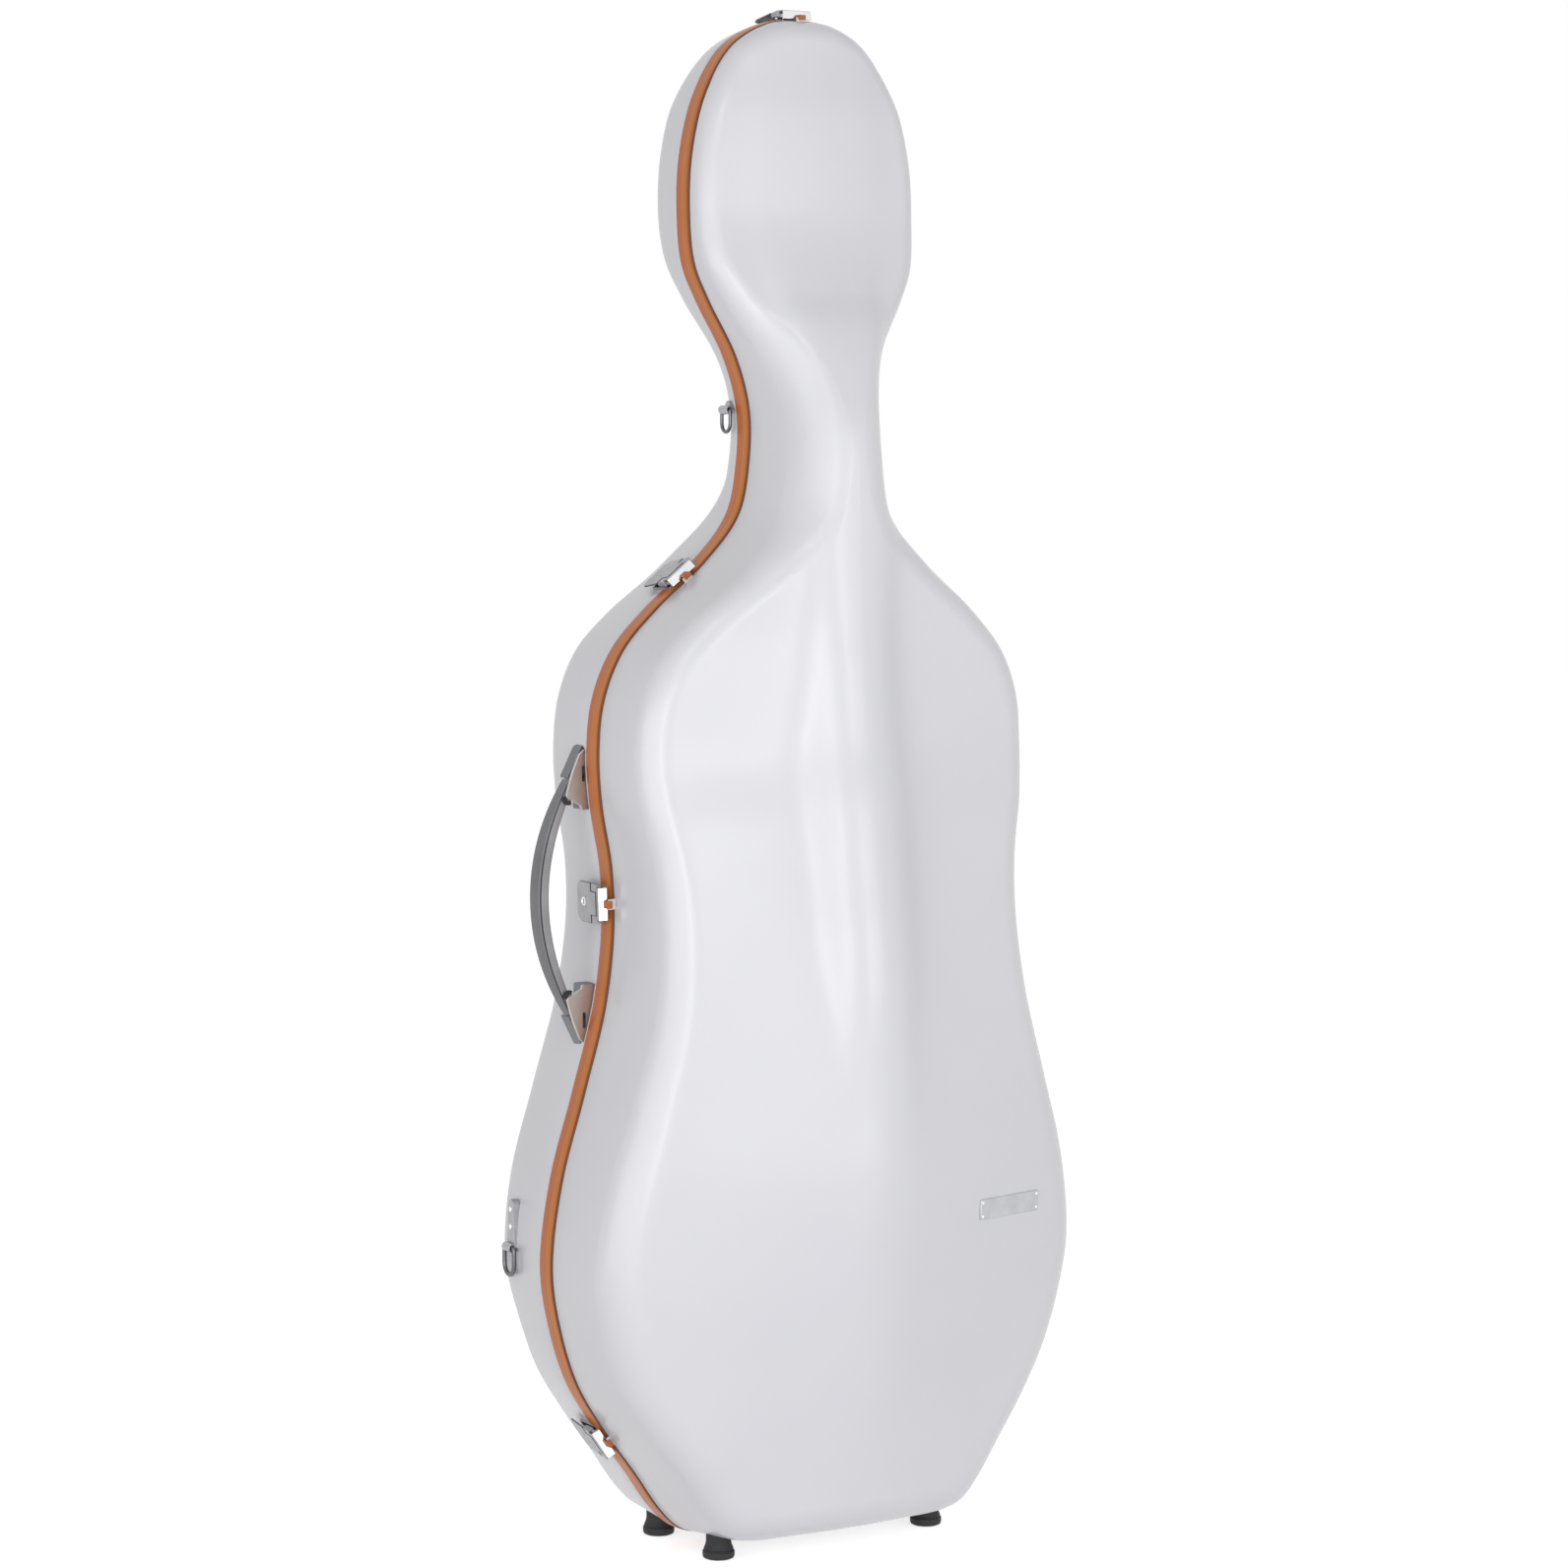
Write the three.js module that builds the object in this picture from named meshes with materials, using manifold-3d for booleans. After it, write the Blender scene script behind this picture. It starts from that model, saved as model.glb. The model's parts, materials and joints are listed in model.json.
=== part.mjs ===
// A hard case for a cello, standing upright on four rubber feet, front lid towards -Y, handle and latches on -X.
// Millimetres, +Z up. The case is built about its seam plane (y = 0) and then moved so that the origin is the
// middle of the floor area that it covers.
import * as THREE from 'three';
import { mergeVertices } from 'three/addons/utils/BufferGeometryUtils.js';
import Module from 'manifold-3d';

const wasm = await Module();
wasm.setup();

// Driving dimensions
const SHELL_LENGTH = 1312;
const HEAD_WIDTH = 224;
const NECK_WIDTH = 104;
const UPPER_BOUT_WIDTH = 407;
const WAIST_WIDTH = 378;
const LOWER_BOUT_WIDTH = 502;
const BOTTOM_WIDTH = 206;
const LID_DEPTH = 138;
const BACK_DEPTH = 115;
const SHELL_WALL = 3;
const CORNER_RADIUS = 28;
const LINING_THICKNESS = 6;
const SEAL_WIDTH = 21;
const SEAL_THICKNESS = 9;
const SEAL_PROUD = 0.6;
const LID_GAP = 0.4;
const FOOT_HEIGHT = 13;

// Clearances and tessellation
const CLEARANCE = 0.3;
const RUNNING_CLEARANCE = 0.3;
const OVERRUN = 4;
const MERGE_DISTANCE = 0.0001;
const SMALLEST_RADIUS = 4;
const OUTLINE_COUNT = 50;
const FINE_STEPS = 8;
const CURVE_STEPS = 3;
const CUSHION_CELLS = 8;
const ROUND_SIDES = 12;
const PIN_SIDES = 10;

// Shape of the shells
const WALL_DRAFT = THREE.MathUtils.degToRad(5);
const ROOF_TILT_FACTOR = 0.96;
const FILLET_ANGLES = [0, 38, 66, 90].map(THREE.MathUtils.degToRad);
const SPINE_HALF_WIDTH = 32;
const SPINE_FLANK_WIDTH = 36;
const SPINE_FLANK_SLOPE = 0.85;
const SPINE_SOFTNESS = 12;
const ROOF_SOFTNESS = 40;
const RIDGE_BLEND = 10;

// Half outline from the top to the bottom: width that the row follows, share of its half, share of the shell length
const OUTLINE_SHARES = [
  [HEAD_WIDTH, 0, 1], [HEAD_WIDTH, 0.263, 0.9981], [HEAD_WIDTH, 0.607, 0.9825], [HEAD_WIDTH, 0.854, 0.9502],
  [HEAD_WIDTH, 0.978, 0.9111], [HEAD_WIDTH, 1.001, 0.8729], [HEAD_WIDTH, 0.958, 0.8395],
  [HEAD_WIDTH, 0.83, 0.8159], [NECK_WIDTH, 1.257, 0.7795], [NECK_WIDTH, 1.001, 0.746],
  [NECK_WIDTH, 1.001, 0.7124], [NECK_WIDTH, 1.203, 0.6767], [UPPER_BOUT_WIDTH, 0.473, 0.646],
  [UPPER_BOUT_WIDTH, 0.714, 0.6152], [UPPER_BOUT_WIDTH, 0.88, 0.5883], [UPPER_BOUT_WIDTH, 0.973, 0.5565],
  [UPPER_BOUT_WIDTH, 0.999, 0.5225], [UPPER_BOUT_WIDTH, 0.985, 0.4886], [WAIST_WIDTH, 1.009, 0.4465],
  [WAIST_WIDTH, 1, 0.4083], [WAIST_WIDTH, 1.043, 0.3581], [LOWER_BOUT_WIDTH, 0.871, 0.3006],
  [LOWER_BOUT_WIDTH, 0.96, 0.2439], [LOWER_BOUT_WIDTH, 0.999, 0.1881], [LOWER_BOUT_WIDTH, 0.97, 0.1495],
  [LOWER_BOUT_WIDTH, 0.903, 0.1107], [LOWER_BOUT_WIDTH, 0.796, 0.0776], [LOWER_BOUT_WIDTH, 0.675, 0.0464],
  [BOTTOM_WIDTH, 1.402, 0.0197], [BOTTOM_WIDTH, 1.216, 0.0059], [BOTTOM_WIDTH, 1, 0.0008],
  [BOTTOM_WIDTH, 0.5, 0], [BOTTOM_WIDTH, 0, 0],
];

// Where the line from a rim point ends on the middle line: height share of the rim point, height share of the end
const MIDDLE_SHARES = [
  [0, 0.0873], [0.0208, 0.1026], [0.1026, 0.1505], [0.1881, 0.2044], [0.3006, 0.3056], [0.4063, 0.4063],
  [0.4886, 0.4886], [0.5565, 0.5465], [0.6152, 0.5963], [0.6757, 0.6678], [0.745, 0.746], [0.814, 0.8238],
  [0.8729, 0.8651], [1, 0.9317],
];

// Depths of the two shells by height share, as shares of LID_DEPTH and BACK_DEPTH
const LID_BODY_SHARES = [
  [0, 0.762], [0.0638, 0.841], [0.126, 0.92], [0.1861, 0.978], [0.2439, 0.997], [0.3006, 0.955],
  [0.3581, 0.884], [0.4154, 0.794], [0.4735, 0.694], [0.5315, 0.613], [0.5883, 0.613], [0.646, 0.641],
  [0.7045, 0.571], [0.7627, 0.443], [0.8199, 0.295], [0.8768, 0.196], [0.9366, 0.186], [1, 0.098],
];
const LID_SPINE_SHARES = [
  [0.0638, 0.581], [0.1861, 0.799], [0.2439, 0.897], [0.3006, 0.965], [0.3601, 0.994], [0.3993, 0.973],
  [0.4365, 0.922], [0.4876, 0.857], [0.5315, 0.782], [0.5754, 0.741], [0.6142, 0.711], [0.6648, 0.7],
  [0.7045, 0.699], [0.7272, 0.689], [0.7677, 0.59], [0.8002, 0.472], [0.8258, 0.314], [0.8768, 0.137],
];
const LID_SLOPE_SHARES = [
  [0, 0.12], [0.0638, 0.16], [0.126, 0.22], [0.2439, 0.24], [0.3006, 0.22], [0.3581, 0.18], [0.4154, 0.14],
  [0.4735, 0.1], [0.5315, 0.08], [0.5883, 0.06], [0.646, 0.05], [0.8768, 0.06], [1, 0.1],
];
const SPINE_WIDTH_SHARES = [
  [0.3006, 0.95], [0.3601, 0.81], [0.5615, 0.81], [0.6142, 0.9], [0.6648, 1], [0.7677, 1], [0.8002, 1.19],
  [0.8258, 1.47], [0.8768, 1.9],
];
const BACK_BODY_SHARES = [
  [0, 0.831], [0.0638, 0.815], [0.126, 0.839], [0.1861, 0.952], [0.2439, 0.995], [0.3006, 0.984],
  [0.3581, 0.948], [0.4154, 0.902], [0.4735, 0.876], [0.5315, 0.869], [0.5883, 0.878], [0.646, 0.739],
  [0.7045, 0.315], [0.7627, 0.265], [0.8199, 0.412], [0.8768, 0.548], [0.9366, 0.567], [1, 0.42],
];
const BACK_SLOPE_SHARES = [[0, 0.08], [0.646, 0.08], [1, 0.1]];
const NO_SPINE_SHARES = [[0, -1], [1, -1]];
// Radius between wall and roof, as a share of CORNER_RADIUS
const LID_CORNER_SHARES = [
  [0, 0.93], [0.0638, 1], [0.2439, 1], [0.3006, 0.93], [0.5883, 0.79], [0.6142, 0.79], [0.646, 1],
  [0.6817, 1.36], [0.7272, 1.36], [0.7627, 1.2], [0.8199, 0.71], [0.8768, 0.57], [1, 0.57],
];
const BACK_CORNER_SHARES = [
  [0, 0.93], [0.0638, 0.79], [0.5883, 0.79], [0.646, 0.93], [0.7568, 0.71], [1, 0.93],
];

const LID = {
  toward: -1, depth: LID_DEPTH, body: LID_BODY_SHARES, spine: LID_SPINE_SHARES, slope: LID_SLOPE_SHARES,
  corner: LID_CORNER_SHARES,
  rim: -SEAL_WIDTH / 2 - LID_GAP,
};
const BACK = {
  toward: 1, depth: BACK_DEPTH, body: BACK_BODY_SHARES, spine: NO_SPINE_SHARES, slope: BACK_SLOPE_SHARES,
  corner: BACK_CORNER_SHARES,
  rim: SEAL_WIDTH / 2 + CLEARANCE,
};

// Materials
const material = (color, roughness, metalness = 0) => new THREE.MeshStandardMaterial({ color, roughness, metalness });
const shellFinish = material(0xe3e4e7, 0.22);
const sealFinish = material(0xba7042, 0.5);
const steelFinish = material(0xb9babc, 0.3, 1);
const leverFinish = material(0xa6a7aa, 0.42, 1);
const rubberFinish = material(0x16171a, 0.75);
const gripFinish = material(0x74777c, 0.6);
const liningFinish = material(0x5a5f68, 0.95);
const cushionFinish = material(0x484d57, 0.95);
const foamFinish = material(0x3a3e46, 0.9);
const plateFinish = material(0xc4c6c8, 0.35, 1);

// Value of a table of [place, value] rows at a place, on a smooth curve that never overshoots its rows
function valueAt(rows, place) {
  const last = rows.length - 1;
  if (place <= rows[0][0]) return rows[0][1];
  if (place >= rows[last][0]) return rows[last][1];
  const secant = (i) => (rows[i + 1][1] - rows[i][1]) / (rows[i + 1][0] - rows[i][0]);
  const tangent = (i) => {
    if (i === 0 || i === last) return 0;
    const before = secant(i - 1);
    const after = secant(i);
    return before * after > 0 ? (2 * before * after) / (before + after) : 0;
  };
  const i = rows.findIndex((row, index) => index < last && place < rows[index + 1][0]);
  const span = rows[i + 1][0] - rows[i][0];
  const t = (place - rows[i][0]) / span;
  const rise = t * t * (3 - 2 * t);
  const start = t * (1 - t) * (1 - t) * span * tangent(i);
  const end = t * t * (t - 1) * span * tangent(i + 1);
  return rows[i][1] + (rows[i + 1][1] - rows[i][1]) * rise + start + end;
}

const shareOfHeight = (z) => (z - FOOT_HEIGHT) / SHELL_LENGTH;
const heightOfShare = (share) => FOOT_HEIGHT + share * SHELL_LENGTH;

// The rim's outline in the seam plane, as a fine closed loop of (x, z) points from the top down the -X side
function fineOutline() {
  const half = OUTLINE_SHARES.map(([width, share, height]) => new THREE.Vector3(
    -(width / 2) * share, 0, heightOfShare(height)));
  const other = half.slice(1, -1).reverse().map((p) => new THREE.Vector3(-p.x, 0, p.z));
  const loop = [...half, ...other];
  const curve = new THREE.CatmullRomCurve3(loop, true, 'centripetal');
  return curve.getPoints(loop.length * FINE_STEPS).slice(0, -1).map((p) => new THREE.Vector2(p.x, p.z));
}

// The same outline with few points, spaced by length and by how much it turns
function coarseOutline(fine) {
  const halfCount = fine.length / 2;
  const weights = [0];
  const direction = (i) => fine[i + 1].clone().sub(fine[i]);
  for (let i = 0; i < halfCount; i += 1) {
    const turn = i === 0 ? 0 : Math.abs(Math.atan2(direction(i - 1).cross(direction(i)),
      direction(i - 1).dot(direction(i))));
    weights.push(weights[i] + direction(i).length() / SHELL_LENGTH + turn / Math.PI);
  }
  const steps = OUTLINE_COUNT / 2;
  const half = [];
  for (let k = 0; k <= steps; k += 1) {
    const wanted = (weights[halfCount] * k) / steps;
    const i = Math.min(halfCount - 1, weights.findIndex((w, index) => index > 0 && w >= wanted) - 1);
    const t = k === 0 ? 0 : (wanted - weights[i]) / (weights[i + 1] - weights[i]);
    half.push(k === 0 ? fine[0].clone() : fine[i].clone().lerp(fine[i + 1], t));
  }
  half[0].x = 0;
  half[steps].x = 0;
  const other = half.slice(1, -1).reverse().map((p) => new THREE.Vector2(-p.x, p.y));
  return [...half, ...other];
}

const FINE_OUTLINE = fineOutline();
const OUTLINE = coarseOutline(FINE_OUTLINE);

function outwardNormal(loop, i) {
  const count = loop.length;
  const along = loop[(i + 1) % count].clone().sub(loop[(i + count - 1) % count]).normalize();
  return new THREE.Vector2(-along.y, along.x).negate();
}

// Distance of a point inside the outline from its nearest edge
function edgeDistance(point) {
  let best = Infinity;
  for (let i = 0; i < OUTLINE.length; i += 1) {
    const a = OUTLINE[i];
    const ab = OUTLINE[(i + 1) % OUTLINE.length].clone().sub(a);
    const t = THREE.MathUtils.clamp(point.clone().sub(a).dot(ab) / ab.lengthSq(), 0, 1);
    best = Math.min(best, a.clone().addScaledVector(ab, t).distanceTo(point));
  }
  return best;
}

const softStep = (value, softness) => (value + Math.hypot(value, softness)) / 2;

// Depth of a shell's roof from its rim, before the corner with the wall is rounded
function roofDepth(side, x, z) {
  const share = shareOfHeight(z);
  const lean = valueAt(side.slope, share) * (Math.hypot(x, ROOF_SOFTNESS) - ROOF_SOFTNESS);
  const body = side.depth * valueAt(side.body, share) - lean;
  const flank = Math.abs(x) - SPINE_HALF_WIDTH * valueAt(SPINE_WIDTH_SHARES, share);
  const spine = side.depth * valueAt(side.spine, share) - SPINE_FLANK_SLOPE * softStep(flank, SPINE_SOFTNESS);
  return body + softStep(spine - body, RIDGE_BLEND) - RIDGE_BLEND / 4;
}

function cornerRadius(side, z, inset) {
  return Math.max(SMALLEST_RADIUS, CORNER_RADIUS * valueAt(side.corner, shareOfHeight(z)) - inset);
}

// Depth from the rim of the surface that lies an inset below the shell's outside, at a point of the outline's plane
function surfaceDepth(side, point, inset) {
  const edge = edgeDistance(point) - inset;
  const roof = roofDepth(side, point.x, point.y) - inset;
  const radius = cornerRadius(side, point.y, inset);
  const s = Math.sin(WALL_DRAFT);
  const c = Math.cos(WALL_DRAFT);
  const q = ROOF_TILT_FACTOR;
  const wallDepth = (edge * c) / s;
  if (radius - q * (roof - wallDepth) <= 0) return wallDepth;
  if (radius + s * roof - edge * c <= 0) return roof;
  const a = radius - edge * c;
  const b = radius - q * roof;
  const half = a * s + b * q;
  const square = s * s + q * q;
  const root = Math.sqrt(Math.max(0, half * half - square * (a * a + b * b - radius * radius)));
  return (root - half) / square;
}

// Rings of points from the rim to the middle line, on the surface an inset below the outside
function sheetRings(side, inset, rimDepth = 0) {
  const rings = FILLET_ANGLES.map(() => []);
  const ends = [[], []];
  const rim = [];
  const middle = [];
  OUTLINE.forEach((rimPoint, i) => {
    const end = new THREE.Vector2(0, heightOfShare(valueAt(MIDDLE_SHARES, shareOfHeight(rimPoint.y))));
    const way = end.clone().sub(rimPoint);
    const length = way.length();
    way.normalize();
    const lean = Math.max(0.5, -way.dot(outwardNormal(OUTLINE, i)));
    const pointAt = (edge) => rimPoint.clone().addScaledVector(way, Math.min(edge / lean, length * 0.9));
    const place = (point, depth) => new THREE.Vector3(point.x, side.rim + side.toward * depth, point.y);
    rim.push(place(pointAt(inset + rimDepth * Math.tan(WALL_DRAFT)), rimDepth));
    const radius = cornerRadius(side, rimPoint.y, inset);
    let roof = 0;
    let centre = radius;
    for (let pass = 0; pass < 3; pass += 1) {
      const probe = pointAt(inset + centre);
      roof = roofDepth(side, probe.x, probe.y) - inset;
      centre = (radius + (roof - radius / ROOF_TILT_FACTOR) * Math.sin(WALL_DRAFT)) / Math.cos(WALL_DRAFT);
    }
    let last = 0;
    FILLET_ANGLES.forEach((angle, k) => {
      const edge = inset + centre - radius * Math.cos(Math.max(angle, WALL_DRAFT));
      const point = pointAt(edge);
      last = edge / lean / length;
      rings[k].push(place(point, surfaceDepth(side, point, inset)));
    });
    const crest = SPINE_HALF_WIDTH * valueAt(SPINE_WIDTH_SHARES, shareOfHeight(end.y));
    const reach = Math.max(Math.abs(rimPoint.x), MERGE_DISTANCE);
    const shareFor = (x, low, high) => THREE.MathUtils.clamp(1 - x / reach, low, high);
    const rest = 1 - last;
    const crestShare = shareFor(crest, last + rest * 0.7, last + rest * 0.9);
    const footShare = shareFor(crest + SPINE_FLANK_WIDTH, last + rest * 0.35, last + (crestShare - last) * 0.8);
    [footShare, crestShare].forEach((share, k) => {
      const point = rimPoint.clone().addScaledVector(way, length * share);
      ends[k].push(place(point, surfaceDepth(side, point, inset)));
    });
    middle.push(place(end, surfaceDepth(side, end, inset)));
  });
  return [rim, ...rings, ...ends, middle];
}

function bandTriangles(outer, inner) {
  const triangles = [];
  outer.forEach((a, i) => {
    const next = (i + 1) % outer.length;
    triangles.push([a, outer[next], inner[next]], [a, inner[next], inner[i]]);
  });
  return triangles;
}

const sheetTriangles = (rings) => rings.slice(1).flatMap((ring, k) => bandTriangles(rings[k], ring));
const turned = (triangles) => triangles.map(([a, b, c]) => [a, c, b]);

// Indexed geometry of the triangles, without those that have no area, with its faces pointing out
function closedGeometry(triangles) {
  const raw = new THREE.BufferGeometry().setFromPoints(triangles.flat());
  return outward(mergeVertices(raw, MERGE_DISTANCE));
}

function outward(geometry) {
  const place = geometry.attributes.position;
  const index = geometry.index.array;
  const kept = [];
  let volume = 0;
  for (let i = 0; i < index.length; i += 3) {
    const [a, b, c] = [index[i], index[i + 1], index[i + 2]];
    if (a !== b && b !== c && c !== a) {
      kept.push([a, b, c]);
      const [p, q, r] = [a, b, c].map((n) => new THREE.Vector3().fromBufferAttribute(place, n));
      volume += p.dot(q.cross(r));
    }
  }
  const facing = volume < 0 ? turned(kept) : kept;
  const result = new THREE.BufferGeometry();
  result.setAttribute('position', place);
  result.setIndex(facing.flat());
  result.computeVertexNormals();
  return result;
}

function toSolid(geometry) {
  const bare = new THREE.BufferGeometry();
  bare.setAttribute('position', geometry.attributes.position);
  if (geometry.index) bare.setIndex(geometry.index);
  const merged = outward(mergeVertices(bare, MERGE_DISTANCE));
  return new wasm.Manifold(new wasm.Mesh({
    numProp: 3,
    vertProperties: new Float32Array(merged.attributes.position.array),
    triVerts: new Uint32Array(merged.index.array),
  }));
}

function fromSolid(solid) {
  const mesh = solid.getMesh();
  const geometry = new THREE.BufferGeometry();
  geometry.setAttribute('position', new THREE.BufferAttribute(new Float32Array(mesh.vertProperties), 3));
  geometry.setIndex([...mesh.triVerts]);
  return geometry;
}

const joined = (first, ...others) => fromSolid(others.reduce((sum, g) => sum.add(toSolid(g)), toSolid(first)));
const cut = (first, ...others) => fromSolid(others.reduce((rest, g) => rest.subtract(toSolid(g)), toSolid(first)));
const common = (first, second) => fromSolid(toSolid(first).intersect(toSolid(second)));

// An open shell of even thickness
function shellGeometry(side, inset, thickness, rimDepth = 0) {
  const outer = sheetRings(side, inset, rimDepth);
  const inner = sheetRings(side, inset + thickness, rimDepth);
  return closedGeometry([
    ...sheetTriangles(outer),
    ...turned(sheetTriangles(inner)),
    ...bandTriangles(inner[0], outer[0]),
  ]);
}

// The whole space under a shell's surface, closed at the rim
function filledGeometry(side, inset, rimDepth = 0) {
  const rings = sheetRings(side, inset, rimDepth);
  const flat = rings[0].map((p) => new THREE.Vector2(p.x, p.z));
  const cap = THREE.ShapeUtils.triangulateShape(flat, []).map((face) => face.map((n) => rings[0][n]));
  const sheet = sheetTriangles(rings);
  const turn = THREE.ShapeUtils.isClockWise(flat);
  return closedGeometry([...sheet, ...(turn ? cap : turned(cap))]);
}

// A loop parallel to the outline, outside it where the offset is positive
function outlineLoop(offset) {
  return OUTLINE.map((p, i) => p.clone().addScaledVector(outwardNormal(OUTLINE, i), offset));
}

function sealGeometry(outerOffset, innerOffset, width) {
  const shape = new THREE.Shape(outlineLoop(outerOffset));
  if (innerOffset !== null) shape.holes.push(new THREE.Path(outlineLoop(innerOffset)));
  const geometry = new THREE.ExtrudeGeometry(shape, { depth: width, bevelEnabled: false });
  return geometry.translate(0, 0, -width / 2).rotateX(Math.PI / 2);
}

// The outside of the closed case, grown by the clearance: hardware is cut by it and so seats on the case
const ENVELOPE = toSolid(filledGeometry(LID, -CLEARANCE))
  .add(toSolid(filledGeometry(BACK, -CLEARANCE)))
  .add(toSolid(sealGeometry(SEAL_PROUD + CLEARANCE, null, SEAL_WIDTH + 4 * LID_GAP)));
// The free space inside the linings: cushions are kept to it and so seat on the lining
const LINING_DEPTH = SHELL_WALL + CLEARANCE + LINING_THICKNESS + CLEARANCE;
const LID_SPACE = toSolid(filledGeometry(LID, LINING_DEPTH, LID_GAP));
const BACK_SPACE = toSolid(filledGeometry(BACK, LINING_DEPTH, LID_GAP));

// A frame from an origin and two axes; its third axis is their cross product
function frameAt(origin, xAxis, yAxis) {
  const x = xAxis.clone().normalize();
  const y = yAxis.clone().addScaledVector(x, -yAxis.dot(x)).normalize();
  return new THREE.Matrix4().makeBasis(x, y, x.clone().cross(y)).setPosition(origin);
}

const WORLD = new THREE.Matrix4();
const inFrame = (solid, frame) => solid.transform(frame.clone().invert().elements);
const seated = (geometry, frame = WORLD) => fromSolid(toSolid(geometry).subtract(inFrame(ENVELOPE, frame)));
const inside = (geometry, space) => fromSolid(toSolid(geometry).intersect(space));

// Place on the rim's side at a height: the point, and the outward normal there
function rimPlace(height, sign) {
  const half = FINE_OUTLINE.slice(0, FINE_OUTLINE.length / 2 + 1);
  const i = half.findIndex((p, index) => half[index + 1].y <= height);
  const t = (half[i].y - height) / (half[i].y - half[i + 1].y);
  const point = half[i].clone().lerp(half[i + 1], t);
  const normal = outwardNormal(half, i === 0 ? 1 : i);
  return {
    point: new THREE.Vector3(-sign * point.x, 0, point.y),
    normal: new THREE.Vector3(-sign * normal.x, 0, normal.y),
  };
}

// How far the case's own outline stands over the line that touches the rim at a place, within a reach of it
function seatRise({ point, normal }, reach) {
  const flatPoint = new THREE.Vector2(point.x, point.z);
  const out = new THREE.Vector2(normal.x, normal.z);
  const along = new THREE.Vector2(-out.y, out.x);
  const rises = OUTLINE.map((a, i) => {
    const ends = [a, OUTLINE[(i + 1) % OUTLINE.length]].map((p) => p.clone().sub(flatPoint));
    const [from, to] = ends.map((p) => p.dot(along));
    if (Math.max(from, to) < -reach || Math.min(from, to) > reach || ends[0].dot(out) < -reach) return 0;
    const riseAt = (place) => ends[0].dot(out) + (ends[1].dot(out) - ends[0].dot(out))
      * THREE.MathUtils.clamp((place - from) / (to - from), 0, 1);
    return Math.max(riseAt(-reach), riseAt(reach));
  });
  return Math.max(0, ...rises);
}

// A flat outline in a frame's x and y, given thickness along z about its middle
function slab(points, thickness, middle = 0) {
  const shape = points instanceof THREE.Shape ? points : new THREE.Shape(points.map(([x, y]) => new THREE.Vector2(x, y)));
  const geometry = new THREE.ExtrudeGeometry(shape, { depth: thickness, bevelEnabled: false, curveSegments: CURVE_STEPS });
  return geometry.translate(0, 0, middle - thickness / 2);
}

function rod(radius, length, x = 0, y = 0, middle = 0, sides = PIN_SIDES) {
  const geometry = new THREE.CylinderGeometry(radius, radius, length, sides);
  return geometry.rotateX(Math.PI / 2).translate(x, y, middle);
}

function roundedRectangle(width, height, radius) {
  const shape = new THREE.Shape();
  const x = width / 2 - radius;
  const y = height / 2 - radius;
  shape.absarc(x, y, radius, 0, Math.PI / 2);
  shape.absarc(-x, y, radius, Math.PI / 2, Math.PI);
  shape.absarc(-x, -y, radius, Math.PI, Math.PI * 1.5);
  shape.absarc(x, -y, radius, Math.PI * 1.5, Math.PI * 2);
  shape.closePath();
  return shape;
}

const group = new THREE.Group();

function add(name, geometry, finish, frame = WORLD, pivot = new THREE.Vector3()) {
  const local = geometry.clone().translate(-pivot.x, -pivot.y, -pivot.z);
  const mesh = new THREE.Mesh(local, finish);
  mesh.name = name;
  frame.decompose(mesh.position, mesh.quaternion, mesh.scale);
  mesh.position.copy(pivot.clone().applyMatrix4(frame));
  group.add(mesh);
  return mesh;
}

// Shells, seal and linings
add('lid_shell', shellGeometry(LID, 0, SHELL_WALL), shellFinish);
add('back_shell', shellGeometry(BACK, 0, SHELL_WALL), shellFinish);
add('rim_seal', sealGeometry(SEAL_PROUD, -SEAL_THICKNESS, SEAL_WIDTH), sealFinish);
add('lid_lining', shellGeometry(LID, SHELL_WALL + CLEARANCE, LINING_THICKNESS, LID_GAP), liningFinish);
add('back_lining', shellGeometry(BACK, SHELL_WALL + CLEARANCE, LINING_THICKNESS, LID_GAP), liningFinish);

// Feet
const FOOT = { radius: 14, neck: 11, roundness: 3, spread: 109, fromSeam: 50, reach: 14 };

function footGeometry() {
  const { radius, neck, roundness, reach } = FOOT;
  const top = FOOT_HEIGHT + reach;
  const profile = [[0, 0], [radius - roundness, 0], [radius, roundness], [radius, FOOT_HEIGHT / 2], [neck, FOOT_HEIGHT],
    [neck, top], [0, top]];
  return new THREE.LatheGeometry(profile.map(([x, y]) => new THREE.Vector2(x, y)), ROUND_SIDES).rotateX(Math.PI / 2);
}

[[LID, 'lid'], [BACK, 'back']].forEach(([side, sideName]) => {
  [[-1, 'left'], [1, 'right']].forEach(([sign, handName]) => {
    const place = new THREE.Vector3(sign * FOOT.spread, side.toward * FOOT.fromSeam, 0);
    const frame = new THREE.Matrix4().setPosition(place);
    add(`${sideName}_foot_${handName}`, seated(footGeometry(), frame), rubberFinish, frame);
  });
});

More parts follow.
